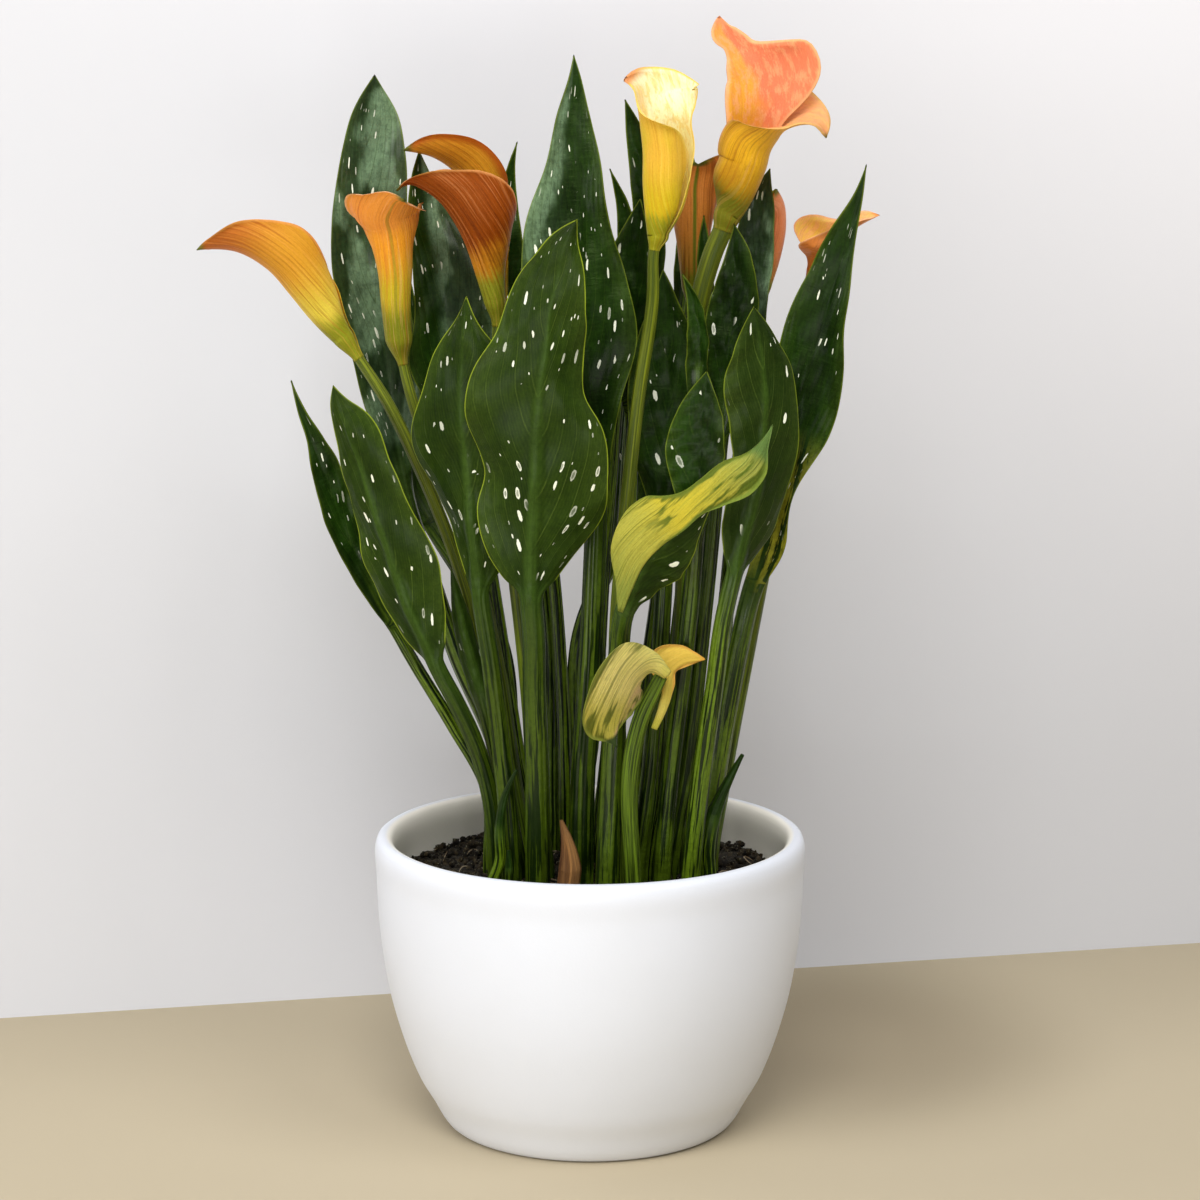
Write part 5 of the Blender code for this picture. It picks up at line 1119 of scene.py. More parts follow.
def spathe_group(streaks):
    """The skin of a bloom's sheet. Outside it runs from the stalk's green through a tube colour
    and a body colour to a top colour, with long darker lines; the inside has its own two
    colours, and the edge, the tip and, on some blooms, the back line have one each."""
    group, b, given, out = new_group(
        "spathe skin",
        [*MARKS, *[(key, "C" if isinstance(v, tuple) else "F") for key, v in PLAIN_FINISH.items()]],
        [("Colour", "C"), ("Roughness", "F"), ("Height", "F")],
    )
    x, y, order = b.split(given["Lay"])
    across, along, _ = b.split(given["Grow"])
    from_edge, _, outside = b.split(given["Part"])
    seed = b.times(order, 4.7)
    lines = b.group(streaks, {"Lay": given["Lay"], "Fine": 0.95, "Stretch": 0.02})

    cloud = b.patches((x, y, seed), (0.07, 0.03), 3.0)
    speck = b.patches((x, y, seed), (1.6, 1.1), 2.0)
    level = b.plus(along, b.times(b.minus(cloud, 0.5), 0.22))
    level = b.plus(level, b.times(b.minus(lines["Thin"], 0.5), 0.07))
    low = b.step(level, b.times(given["Green to"], 0.3), given["Green to"])
    middle = b.step(level, given["Green to"], given["Tube to"])
    high = b.step(level, given["Tube to"], given["Body to"])
    skin_colour = b.mix(low, given["Base"], given["Tube"])
    skin_colour = b.mix(middle, skin_colour, given["Body"])
    skin_colour = b.mix(high, skin_colour, given["Top"])
    flush_at = b.plus(cloud, b.times(b.times(across, given["Flush side"]), 0.5))
    flush = b.times(given["Flush share"], b.step(flush_at, 0.45, 0.66))
    flush = b.times(flush, b.step(along, 0.2, 0.5))
    skin_colour = b.mix(flush, skin_colour, given["Flush"])

    light = b.times(b.step(lines["Thin"], 0.35, 0.0), b.times(given["Lines"], 0.5))
    skin_colour = b.mix(light, skin_colour, given["Edge"])
    line = b.times(b.step(lines["Thin"], 0.55, 1.0), given["Lines"])
    line = b.times(line, b.between(lines["Broad"], 0.35, 1.0))
    skin_colour = b.mix(line, skin_colour, given["Line"])
    patch = b.patches((x, y, seed), (0.22, 0.045), 3.0, 0.6)
    patch = b.plus(patch, b.times(b.step(b.maths("ABSOLUTE", across), 0.3, 1.0), 0.16))
    starts = b.step(along, given["Patch from"], b.plus(given["Patch from"], 0.2))
    patch = b.times(b.step(patch, 0.56, 0.68), starts)
    skin_colour = b.mix(b.times(patch, given["Patch share"]), skin_colour, given["Line"])
    spine = b.step(b.maths("ABSOLUTE", across), 0.045, 0.012)
    spine = b.times(spine, b.times(given["Midline share"], b.step(lines["Broad"], -0.6, 0.4)))
    skin_colour = b.mix(spine, skin_colour, given["Midline"])

    inside = b.mix(b.step(level, 0.3, 0.85), given["Inside low"], given["Inside high"])
    inside = b.mix(flush, inside, given["Flush"])
    vague = b.patches((x, y, seed), (0.35, 0.16), 4.0, 0.7)
    inside = b.mix(b.times(b.step(vague, 0.46, 0.6), 0.55), inside, given["Edge"])
    inside = b.mix(b.times(line, 0.3), inside, given["Line"])
    colour = b.mix(outside, inside, skin_colour)
    edge = b.times(b.step(from_edge, given["Edge width"], 0.2), b.step(along, 0.3, 0.5))
    colour = b.mix(edge, colour, given["Edge"])
    end = b.plus(along, b.times(b.minus(cloud, 0.5), 0.04))
    end = b.step(end, given["Tip from"], b.plus(given["Tip from"], 0.05))
    colour = b.mix(end, colour, given["Tip"])
    colour = b.mix(b.times(b.step(speck, 0.35, 0.75), 0.12), colour, given["Line"], "MULTIPLY")

    rough = b.between(speck, 0.38, 0.55)
    height = b.plus(b.times(lines["Thin"], 0.12), b.times(speck, 0.04))
    height = b.plus(height, b.times(vague, 0.5))
    for label, value in (("Colour", colour), ("Roughness", rough), ("Height", height)):
        b.link(value, out[label])
    return group


def surface(name, settings):
    """A new material with one Principled shader, whose fixed values are given, and a bench."""
    material = bpy.data.materials.new(name)
    material.use_nodes = True
    bench = Bench(material.node_tree)
    shader = material.node_tree.nodes["Principled BSDF"]
    for key, value in settings.items():
        shader.inputs[key].default_value = value
    return material, bench, shader


def dress(bench, shader, shade, rough, relief, depth, strength=1.0):
    """Gives a shader its colour, its roughness and a relief of a depth in millimetres."""
    inputs = {"Strength": strength, "Distance": depth * MM, "Height": relief}
    bump = bench.node("ShaderNodeBump", inputs)
    bench.link(shade, shader.inputs["Base Color"])
    bench.link(rough, shader.inputs["Roughness"])
    bench.link(bump.outputs["Normal"], shader.inputs["Normal"])


def skinned(name, group, values, settings):
    """A material whose colour, roughness and relief come from a group over the skin's marks."""
    material, bench, shader = surface(name, settings)
    marks = {label: bench.mark(label.lower()) for label, _ in MARKS}
    inputs = {key: (*v, 1.0) if isinstance(v, tuple) else v for key, v in values.items()}
    made = bench.group(group, {**marks, **inputs})
    dress(bench, shader, made["Colour"], made["Roughness"], made["Height"], 1.0)
    if "Coat" in made:
        bench.link(made["Coat"], shader.inputs["Coat Weight"])
    return material


def new_piece(name, points, faces, material, replaces=None, marks=None):
    """A mesh object in metres at the origin, shaded smooth, with the skin's marks on its points.
    It rides on the plant, and stands for the solid that it replaces."""
    faces = [f for f in faces if len(f)]
    corners = np.concatenate([f.ravel() for f in faces])
    sizes = np.concatenate([np.full(len(f), f.shape[1]) for f in faces])
    mesh = bpy.data.meshes.new(name)
    mesh.vertices.add(len(points))
    mesh.vertices.foreach_set("co", (np.asarray(points) * MM).astype(np.float32).ravel())
    mesh.loops.add(len(corners))
    mesh.loops.foreach_set("vertex_index", corners.astype(np.int32))
    mesh.polygons.add(len(sizes))
    mesh.polygons.foreach_set("loop_start", (np.cumsum(sizes) - sizes).astype(np.int32))
    mesh.update(calc_edges=True)
    mesh.validate()
    mesh.shade_smooth()
    for label, columns in (marks or {}).items():
        values = np.stack([np.asarray(c, float).ravel() for c in columns], -1)
        if len(values) < len(points):
            values = np.concatenate([values, values[-1:]])
        stored = mesh.attributes.new(label, "FLOAT_VECTOR", "POINT")
        stored.data.foreach_set("vector", values.astype(np.float32).ravel())
    mesh.materials.append(material)
    piece = bpy.data.objects.new(name, mesh)
    bpy.context.scene.collection.objects.link(piece)
    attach(piece, "root")
    if replaces:
        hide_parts(replaces)


# Finishes of the blooms and loose sheets, as colours read off a screen. The values say up
# to which share of the length the green base, the tube and the body colour reach, how strong the
# long lines, the green back line and the flush are, which side the flush lies on, how strong the
# dark patches are and where they start, how wide the edge is in millimetres, and where the tip's
# colour starts. A bloom's own finish says only what differs from the plain one.
PLAIN_FINISH = {
    "Base": tint(138, 144, 32), "Tube": tint(206, 186, 52), "Body": tint(228, 166, 48),
    "Top": tint(206, 120, 50), "Line": tint(150, 74, 22), "Edge": tint(226, 150, 80),
    "Tip": tint(96, 104, 40), "Inside low": tint(236, 190, 60), "Inside high": tint(236, 160, 84),
    "Midline": tint(110, 118, 30), "Flush": tint(232, 150, 104), "Green to": 0.16, "Tube to": 0.4,
    "Body to": 0.75, "Lines": 0.5, "Midline share": 0.0, "Flush share": 0.0, "Flush side": 0.0,
    "Patch share": 0.0, "Patch from": 0.0, "Edge width": 1.6, "Tip from": 0.93,
}
BLOOM_FINISH = {
    "bloom_01": {
        "Tube": tint(226, 204, 74), "Body": tint(214, 154, 44), "Top": tint(190, 108, 42),
        "Green to": 0.2, "Tube to": 0.5, "Body to": 0.85, "Lines": 0.55,
    },
    "bloom_02": {
        "Base": tint(120, 126, 22), "Tube": tint(190, 170, 34), "Body": tint(236, 158, 40),
        "Top": tint(238, 154, 62), "Line": tint(178, 92, 48), "Midline share": 0.5,
        "Green to": 0.26, "Tube to": 0.62, "Lines": 0.6, "Edge": tint(236, 170, 120),
    },
    "bloom_03": {
        "Tube": tint(200, 132, 28), "Body": tint(150, 70, 10), "Top": tint(142, 66, 14),
        "Line": tint(96, 34, 10), "Edge": tint(214, 140, 84), "Green to": 0.24, "Tube to": 0.42,
        "Body to": 0.6, "Lines": 0.65,
    },
    "bloom_04": {
        "Tube": tint(206, 156, 34), "Body": tint(212, 156, 38), "Top": tint(206, 144, 40),
        "Line": tint(150, 76, 18), "Edge": tint(176, 86, 28), "Edge width": 6.0, "Body to": 0.9,
        "Lines": 0.6,
    },
    "bloom_05": {
        "Base": tint(150, 152, 30), "Tube": tint(214, 188, 34), "Body": tint(212, 184, 40),
        "Top": tint(226, 192, 62), "Line": tint(196, 140, 28), "Edge": tint(242, 206, 96),
        "Tip": tint(226, 150, 96), "Inside low": tint(252, 236, 140),
        "Inside high": tint(255, 250, 206), "Flush": tint(234, 170, 70), "Flush share": 0.5,
        "Flush side": -0.5, "Green to": 0.14, "Lines": 0.45,
    },
    "bloom_06": {
        "Base": tint(122, 126, 30), "Tube": tint(206, 158, 32), "Body": tint(246, 190, 40),
        "Top": tint(240, 186, 66), "Line": tint(146, 70, 18), "Edge": tint(238, 178, 104),
        "Inside low": tint(236, 180, 60), "Inside high": tint(238, 164, 112), "Lines": 0.5,
        "Patch share": 0.18, "Patch from": 0.05, "Green to": 0.26, "Tube to": 0.45,
        "Tip from": 0.95, "Tip": tint(98, 96, 40),
    },
    "bloom_07": {
        "Tube": tint(190, 136, 44), "Body": tint(206, 132, 52), "Top": tint(212, 134, 60),
        "Line": tint(112, 50, 16), "Midline share": 1.0, "Lines": 0.8, "Green to": 0.12,
    },
    "bloom_08": {
        "Tube": tint(218, 148, 66), "Body": tint(232, 144, 94), "Top": tint(234, 148, 100),
        "Green to": 0.1, "Lines": 0.4,
    },
    "bloom_09": {
        "Tube": tint(200, 110, 40), "Body": tint(214, 124, 50), "Top": tint(236, 160, 96),
        "Edge": tint(240, 170, 120), "Inside low": tint(232, 186, 76),
        "Inside high": tint(240, 186, 110), "Green to": 0.14, "Lines": 0.5,
        "Tip": tint(232, 150, 80),
    },
}
SHEET_FINISH = {
    "bloom_06_inner": {
        "Base": tint(214, 150, 30), "Tube": tint(238, 180, 50), "Body": tint(240, 170, 80),
        "Top": tint(238, 150, 104), "Line": tint(214, 112, 60), "Edge": tint(242, 176, 126),
        "Inside low": tint(232, 172, 44), "Inside high": tint(236, 160, 80),
        "Flush": tint(234, 128, 94), "Flush share": 0.95, "Flush side": 0.9, "Green to": 0.05,
        "Lines": 0.5, "Tip": tint(232, 150, 104),
    },
    "bract_yellow": {
        "Base": tint(138, 146, 62), "Tube": tint(178, 172, 70), "Body": tint(196, 180, 54),
        "Top": tint(150, 158, 74), "Line": tint(74, 96, 24), "Edge": tint(112, 132, 50),
        "Inside low": tint(172, 176, 72), "Inside high": tint(206, 194, 74), "Green to": 0.3,
        "Tube to": 0.5, "Body to": 0.9, "Lines": 0.7, "Patch share": 0.9, "Patch from": 0.25,
        "Edge width": 2.5, "Tip": tint(92, 122, 62), "Tip from": 0.84,
    },
    "bloom_11_spathe": {
        "Base": tint(206, 196, 96), "Tube": tint(222, 210, 118), "Body": tint(224, 208, 124),
        "Top": tint(206, 196, 86), "Line": tint(66, 86, 16), "Edge": tint(130, 140, 56),
        "Inside low": tint(206, 200, 110), "Inside high": tint(206, 200, 110),
        "Flush": tint(228, 186, 152), "Flush share": 0.9, "Flush side": -0.4, "Green to": 0.1,
        "Lines": 0.7, "Patch share": 0.8, "Patch from": 0.1, "Edge width": 2.0,
        "Tip": tint(58, 78, 40), "Tip from": 0.86,
    },
    "bloom_11_flap": {
        "Base": tint(186, 180, 70), "Tube": tint(206, 192, 92), "Body": tint(194, 176, 76),
        "Top": tint(206, 174, 72), "Line": tint(150, 130, 50), "Edge": tint(206, 156, 70),
        "Inside low": tint(212, 206, 110), "Inside high": tint(226, 190, 100), "Lines": 0.4,
        "Tip": tint(200, 150, 60),
    },
}

# The colours of a leaf's skin, each with the name of its setting, and its plain values: share
# and size of the flecks, strength of the pale edge, yellow age and how far up it reaches, gloss,
# and the strength, side and level of the painted sheen, pale patches that stand for highlights.
LEAF_COLOURS = {
    "Upper": "upper", "Upper deep": "upper_deep", "Lower": "lower", "Lower deep": "lower_deep",
    "Vein": "vein", "Rib": "rib", "Stem": "stem", "Stem deep": "stem_deep", "Edge": "leaf_edge",
    "Fleck": "fleck", "Age": "age", "Wax": "wax",
}
LEAF_VALUES = {
    "Fleck share": 0.26, "Fleck size": 1.0, "Edge share": 0.35, "Aged": 0.0, "Aged to": 0.5,
    "Gloss": 0.12, "Wax share": 0.0, "Wax side": 0.0, "Wax level": 0.6,
}

# Leaves whose skin differs from the common one.
LEAF_FINISH = {
    "leaf_05": {"Fleck share": 0.4, "Edge share": 0.9},
    "leaf_06": {"Fleck share": 0.42, "Edge share": 0.9},
    "leaf_07": {"Fleck share": 0.22, "Edge share": 0.8},
    "leaf_18": {"Fleck share": 0.1, "Edge share": 0.5, "Lower": tint(38, 54, 14)},
    # On these four leaves a painted sheen stands for the gloss highlights on their upper faces.
    "leaf_01": {"Fleck share": 0.3, "Gloss": 0.5, "Wax share": 0.7, "Wax level": 0.6},
    "leaf_02": {"Gloss": 0.4, "Wax share": 0.85, "Wax side": 1.0, "Wax level": 0.3},
    "leaf_04": {"Gloss": 0.15, "Wax share": 0.7, "Wax side": -1.0, "Wax level": 0.0},
    "leaf_17": {"Fleck share": 0.14, "Gloss": 0.6, "Wax share": 0.95, "Wax level": 0.6},
    "leaf_19": {"Aged": 0.8, "Aged to": 0.4, "Fleck share": 0.2},
    "bract_green": {"Fleck share": 0.5, "Edge share": 0.8},
    "sprout_5": {
        "Fleck share": 0.0, "Upper": tint(196, 182, 62), "Upper deep": tint(160, 150, 44),
        "Stem": tint(196, 182, 62),
    },
}

# Stage, in metres: half the width and the front end of the floor, two points of the line on
# which the wall stands, how far the wall runs on beyond them, and its height.
FLOOR_HALF, FLOOR_FRONT = 5, -4
WALL_FOOT = (-0.309, 0.151), (0.345, 0.293)
WALL_BEYOND, WALL_HIGH = 4, 4

# The floor carries a painted shadow, a deeper beige behind the pot on its right: the middle and reach,
# in metres.
PAINTED_SHADOW_MIDDLE, PAINTED_SHADOW_REACH = (0.13, 0.12), (0.15, 0.2)

# Painted light: between these heights the wall's colour turns brighter, sooner by the given slope on
# the right.
WALL_PAINTED_LIGHT_HEIGHTS = 0.25, 0.75
PAINTED_LIGHT_EAST_SLOPE = 0.6

# Lamps: name, place, the point that it looks at, width, height, and watts.
LAMPS = (
    ("key", (-1.5, -1.3, 0.95), (0, 0, 0.3), 0.6, 1.6, 15),
    ("top", (-0.1, -1.2, 1.7), (0, 0, 0.15), 0.8, 0.8, 22),
    ("right fill", (1.0, -0.8, 1.8), (0, 0, 0.2), 1.0, 0.8, 12),
    ("low fill", (-0.3, -1.2, 0.12), (0, 0, 0.04), 0.9, 0.25, 3.8),
)
WORLD_STRENGTH = 0.19

SHOOTS = ("sprout_1", "sprout_2", "sprout_3", "sprout_4", "sprout_5")


def length(name, text, value):
    """A length in metres with its own name and description."""
    return bpy.props.FloatProperty(
        name=name, description=text, default=value * MM, min=0, subtype="DISTANCE"
    )


def number(name, text, value):
    """A whole number with its own name and description."""
    return bpy.props.IntProperty(name=name, description=text, default=value, min=0)


def colour(name, text, value):
    """A colour with its own name and description."""
    return bpy.props.FloatVectorProperty(
        name=name, description=text, default=value, size=3, min=0, max=1, subtype="COLOR"
    )


class CallaSizes(bpy.types.PropertyGroup):
    """Sizes and numbers that may be set before the plant is grown"""

    crumb: length("Crumb", "Half-width of a large crumb of soil", 3.2)
    root: length("Root", "Radius of a dry root on the soil", 0.28)
    petal_wave: length("Petal wave", "How far the edges of the blooms wave", 0.6)
    crumbs: number("Crumbs", "Number of crumbs on the soil", 3400)
    roots: number("Roots", "Number of dry roots on the soil", 80)
    fleck_share: bpy.props.FloatProperty(
        name="Flecks", description="Share of the cells of a blade that hold a pale fleck",
        default=LEAF_VALUES["Fleck share"], min=0, max=1,
    )
    fleck_size: bpy.props.FloatProperty(
        name="Fleck size", description="Scale of the flecks",
        default=LEAF_VALUES["Fleck size"], min=0,
    )


class CallaColours(bpy.types.PropertyGroup):
    """Colours that may be set before the plant is grown"""

    upper: colour("Upper face", "Lighter green of a leaf's upper face", tint(30, 58, 8))
    upper_deep: colour("Upper face, deep", "Darker green of a leaf's upper face", tint(8, 24, 3))
    lower: colour("Lower face", "Lighter green of a leaf's lower face", tint(40, 60, 8))
    lower_deep: colour("Lower face, deep", "Darker green of a leaf's lower face", tint(18, 36, 4))
    vein: colour("Veins", "Side veins", tint(96, 118, 44))
    rib: colour("Midrib", "Midrib on the lower face", tint(56, 80, 24))
    stem: colour("Stem", "Lighter streaks of a stem", tint(112, 140, 26))
    stem_deep: colour("Stem, deep", "Darker streaks of a stem", tint(14, 30, 2))
    leaf_edge: colour("Leaf edge", "Thin edge of a leaf", tint(140, 156, 40))
    fleck: colour("Fleck", "Pale flecks", tint(240, 243, 222))
    age: colour("Age", "Yellow patches of an old leaf", tint(176, 172, 50))
    # Painted sheen: the pale green that stands for gloss highlights on some upper faces.
    wax: colour("Wax", "Pale patches painted as sheen on some upper faces", tint(128, 156, 122))
    stalk: colour("Stalk", "Lighter streaks of a bloom's stalk", tint(122, 132, 22))
    stalk_deep: colour("Stalk, deep", "Darker streaks of a bloom's stalk", tint(62, 76, 10))
    spadix: colour("Spadix", "Florets inside a bloom", tint(232, 176, 60))
    sheath: colour("Sheath", "Dry leaf base", tint(150, 102, 50))
    soil: colour("Soil", "Dark potting mix", tint(20, 15, 8))
    crumb: colour("Crumb", "Lighter crumbs and bark", tint(62, 50, 27))
    root: colour("Root", "Dry roots", tint(172, 158, 132))
    # Painted light: the brighter, warmer white that stands for light bounced into the pot.
    pot_inside_painted_light: colour("Pot, inside painted light", "Brighter, warmer white painted as light on the pot's inside", tint(255, 250, 238))
    pot: colour("Pot", "White of the pot", tint(226, 230, 239))
    floor: colour("Floor", "Beige of the floor", tint(190, 177, 151))
    # Painted shadow: the deeper beige that stands for the pot's cast shadow on the floor.
    floor_painted_shadow: colour("Floor, painted shadow", "Deeper beige painted as shadow behind the pot", tint(158, 145, 121))
    wall: colour("Wall", "Pale grey behind", tint(217, 218, 223))
    # Painted light: the brighter grey that the wall turns to high up and towards the right.
    wall_painted_light: colour("Wall, painted light", "Brighter grey painted as light high on the wall", tint(238, 238, 243))


def palette():
    """The scene's own colours."""
    return bpy.context.scene.calla_colours


def sizes():
    """The scene's own sizes."""
    return bpy.context.scene.calla_sizes


def group_named(name, build, *parts):
    """A node group that is built once and shared."""
    return bpy.data.node_groups.get(name) or build(*parts)


def streaks():
    """The shared group of long streaks."""
    return group_named("long streaks", streak_group)


def leaf_material(name):
    """The leaf skin with one leaf's own share of flecks and age."""
    c = palette()
    colours = {label: tuple(getattr(c, setting)) for label, setting in LEAF_COLOURS.items()}
    given = {"Fleck share": sizes().fleck_share, "Fleck size": sizes().fleck_size}
    values = {**colours, **LEAF_VALUES, **given, **LEAF_FINISH.get(name, {})}
    flecks = group_named("pale flecks", fleck_group)
    group = group_named("leaf skin", leaf_group, flecks, streaks())
    fixed = {
        "Coat Roughness": 0.26, "Specular IOR Level": 0.1, "Specular Tint": (0.75, 1.0, 0.4, 1),
    }
    return skinned(name, group, values, fixed)


def grow_leaf(name, material):
    """One leaf, shoot or sheath, in place of its solid."""
    order = list(LEAVES).index(name)
    rings, tip, marks = leaf_skin(order, *LEAVES[name])
    points, faces = skin(rings, tip)
    new_piece(name + "_skin", points, faces, material, name, marks)


class CALLA_OT_leaves(bpy.types.Operator):
    """Grow every leaf on its stem, with veins, pale flecks and a thin bright edge"""

    bl_idname = "calla.leaves"
    bl_label = "Leaves"

    def execute(self, context):
        common = leaf_material("leaf")
        for name in LEAVES:
            if name in SHOOTS or name == "sheath":
                continue
            grow_leaf(name, leaf_material(name) if name in LEAF_FINISH else common)
        return {"FINISHED"}


class CALLA_OT_shoots(bpy.types.Operator):
    """Grow the young shoots and the dry leaf base at the foot of the clump"""

    bl_idname = "calla.shoots"
    bl_label = "Shoots and sheath"

    def execute(self, context):
        common = leaf_material("shoot")
        for name in SHOOTS:
            grow_leaf(name, leaf_material(name) if name in LEAF_FINISH else common)
        grow_leaf("sheath", sheath_material())
        return {"FINISHED"}


def sheath_material():
    """Dry brown skin with long darker fibres and a split, papery look."""
    material, b, shader = surface("dry sheath", {"Specular IOR Level": 0.3})
    lines = b.group(streaks(), {"Lay": b.mark("lay"), "Fine": 1.8, "Stretch": 0.05})
    brown = (*palette().sheath, 1)
    dark = (*tint(74, 40, 20), 1)
    shade = b.mix(lines["Thin"], dark, brown)
    shade = b.mix(b.times(lines["Broad"], 0.5), shade, (*tint(190, 140, 84), 1))
    dress(b, shader, shade, b.between(lines["Thin"], 0.6, 0.85), lines["Thin"], 0.4)
    return material


def grow_stalk(name, order, rows, spadix_from, material):
    """One bloom's stalk and spadix, in place of their solid."""
    rings, marks = stalk_skin(order, rows, spadix_from)
    points, faces = skin(rings)
    new_piece(name + "_stem", points, faces, material, name + "_stalk", marks)


def stalk_material(name, light, deep):
    """A stalk with long green streaks; the spadix on top is yellow."""
    fixed = {"Specular IOR Level": 0.2, "Coat Weight": 0.08, "Coat Roughness": 0.3}
    material, b, shader = surface(name, fixed)
    lines = b.group(streaks(), {"Lay": b.mark("lay"), "Fine": 1.3, "Stretch": 0.02})
    c = palette()
    _, along, _ = b.split(b.mark("grow"))
    _, florets, _ = b.split(b.mark("part"))
    shade = b.mix(lines["Thin"], (*deep, 1), (*light, 1))
    low = b.mix(lines["Thin"], (*c.stem_deep, 1), (*c.stem, 1))
    shade = b.mix(b.step(along, 0.15, 0.6), low, shade)
    shade = b.mix(b.times(lines["Broad"], 0.35), shade, (*deep, 1))
    shade = b.mix(florets, shade, (*c.spadix, 1))
    dress(b, shader, shade, b.between(lines["Thin"], 0.36, 0.5), lines["Thin"], 0.25)
    return material


class CALLA_OT_stalks(bpy.types.Operator):
    """Grow the stalk and the spadix of every bloom"""

    bl_idname = "calla.stalks"
    bl_label = "Stalks"

    def execute(self, context):
        c = palette()
        material = stalk_material("stalk", c.stalk, c.stalk_deep)
        old = stalk_material("old_stalk", c.stem, c.stem_deep)
        for order, (name, bloom) in enumerate(BLOOMS.items()):
            whole, _ = stalk_rows(name, bloom)
            start = 1.0 if name in SHORT_SPADIX else fraction_of(whole, len(whole) - len(SPADIX_AT))
            grow_stalk(name, order, whole, start, material)
        grow_stalk("bloom_11", len(BLOOMS), in_soil(OLD_ROOT) + OLD_STALK, 1.0, old)
        return {"FINISHED"}


def spathe_rows(rows):
    """A bloom's rows with a half-width for each side, shared out by their lean."""
    return [
        (x, y, z, half * (1 - lean), half * (1 + lean), curl, roll, lean)
        for x, y, z, half, curl, roll, lean in rows
    ]


def stalk_rows(name, bloom):
    """The rows of a bloom's stalk from the soil to the end of its spadix, and which of them
    enters the tube."""
    _, root, stalk, rows = bloom
    rows = spathe_rows(rows)
    neck = stalk[-1][3]
    if name in SHORT_SPADIX:
        inside = tube_line(rows, 1, [0, SHORT_SPADIX_AT], [neck, SPADIX_RADII[0]])
    else:
        inside = tube_line(rows, 1, [0, *SPADIX_AT], [neck * NECK_FIT, *SPADIX_RADII])
    whole = in_soil(root) + stalk + inside
    return whole, len(whole) - len(inside) + 1


def spathe_material(name, own):
    """The plain finish with what differs on one bloom."""
    fixed = {
        "Subsurface Weight": 0.15, "Subsurface Radius": (0.004, 0.003, 0.001),
        "Subsurface Scale": 0.5, "Specular IOR Level": 0.2, "Specular Tint": (1.0, 0.8, 0.4, 1),
    }
    group = group_named("spathe skin", spathe_group, streaks())
    return skinned(name + "_skin", group, {**PLAIN_FINISH, **own}, fixed)


def open_sheet(name, solid, finish, *shape):
    """A bloom's sheet or a loose one with its own finish, in place of its solid."""
    rings, tip, marks = spathe_skin(*shape)
    points, faces = skin(rings, tip)
    material = spathe_material(name, finish)
    new_piece(name + "_petal", points, faces, material, solid, marks)


class CALLA_OT_blooms(bpy.types.Operator):
    """Open the coloured sheet of every bloom, rolled into a funnel with a turned-out edge"""

    bl_idname = "calla.blooms"
    bl_label = "Blooms"

    def execute(self, context):
        wave = sizes().petal_wave / MM
        for order, (name, bloom) in enumerate(BLOOMS.items()):
            flare, rows = bloom[0], spathe_rows(bloom[3])
            long = SHORT_NECKS.get(name, NECK_LENGTH)
            neck = neck_line(*stalk_rows(name, bloom), NECK_RINGS, long)
            shape = (order, rows, 1, SPATHE_GRAIN, SPATHE_TUCK, flare, wave, neck)
            open_sheet(name, name + "_spathe", BLOOM_FINISH[name], *shape)
        return {"FINISHED"}


class CALLA_OT_sheets(bpy.types.Operator):
    """Lay out the loose sheets: the inner sheet of the double bloom, the yellow half of the
    bract, and the two pieces of the withered bloom"""

    bl_idname = "calla.sheets"
    bl_label = "Loose sheets"

    def execute(self, context):
        wave = sizes().petal_wave / MM / 2
        for order, (name, (side, rows)) in enumerate(LOOSE_SHEETS.items()):
            shape = (order + LOOSE_ORDER, rows, side, LOOSE_GRAIN, LOOSE_TUCK, 0, wave)
            open_sheet(name, name, SHEET_FINISH[name], *shape)
        return {"FINISHED"}


def soil_height(x, y):
    """Uneven top of the soil, as waves of many directions and lengths: the sum over k of
    2.2 / (k + 3) sin(pitch (x cos way + y sin way) + 1.7 k)."""
    height = np.zeros_like(x)
    for k in range(1, SOIL_WAVES + 1):
        way, pitch = GOLDEN_TURN * k, 0.05 + 0.024 * k
        height += np.sin(pitch * (x * np.cos(way) + y * np.sin(way)) + 1.7 * k) * 2.2 / (k + 3)
    return height


def soil_material(name):
    """Dark, rough potting mix with lighter and a few pale grains."""
    dark, light = palette().soil, palette().crumb
    material, b, shader = surface(name, {"Specular IOR Level": 0.25})
    place = b.place()
    coarse = b.noise(place, 260.0, 5.0, 0.65)
    fine = b.noise(place, 1400.0, 3.0, 0.6)
    shade = b.mix(b.step(coarse, 0.42, 0.72), (*dark, 1), (*light, 1))
    shade = b.mix(b.step(fine, 0.62, 0.7), shade, (*tint(158, 156, 128), 1))
    dress(b, shader, shade, b.between(fine, 0.75, 0.98), fine, 0.6)
    return material


def fill_bed():
    """The body of the soil, sunk towards the pot, with an uneven top."""
    rings = np.concatenate([[0.01], np.linspace(1.5, SOIL_RADIUS, SOIL_RINGS)])
    profile = [*SOIL_UNDER, *((r, SOIL_TOP) for r in rings[::-1]), (0, SOIL_TOP)]
    points, faces = turned_skin(profile, SOIL_SIDES)
    top = points[:, 2] > SOIL_TOP - 1
    x, y = points[top, 0], points[top, 1]
    points[top, 2] += soil_height(x, y) - 1.2
    points[top, 2] -= rise(np.hypot(x, y), 74, 91)
    new_piece("soil_bed", points, faces, soil_material("soil"), "soil")


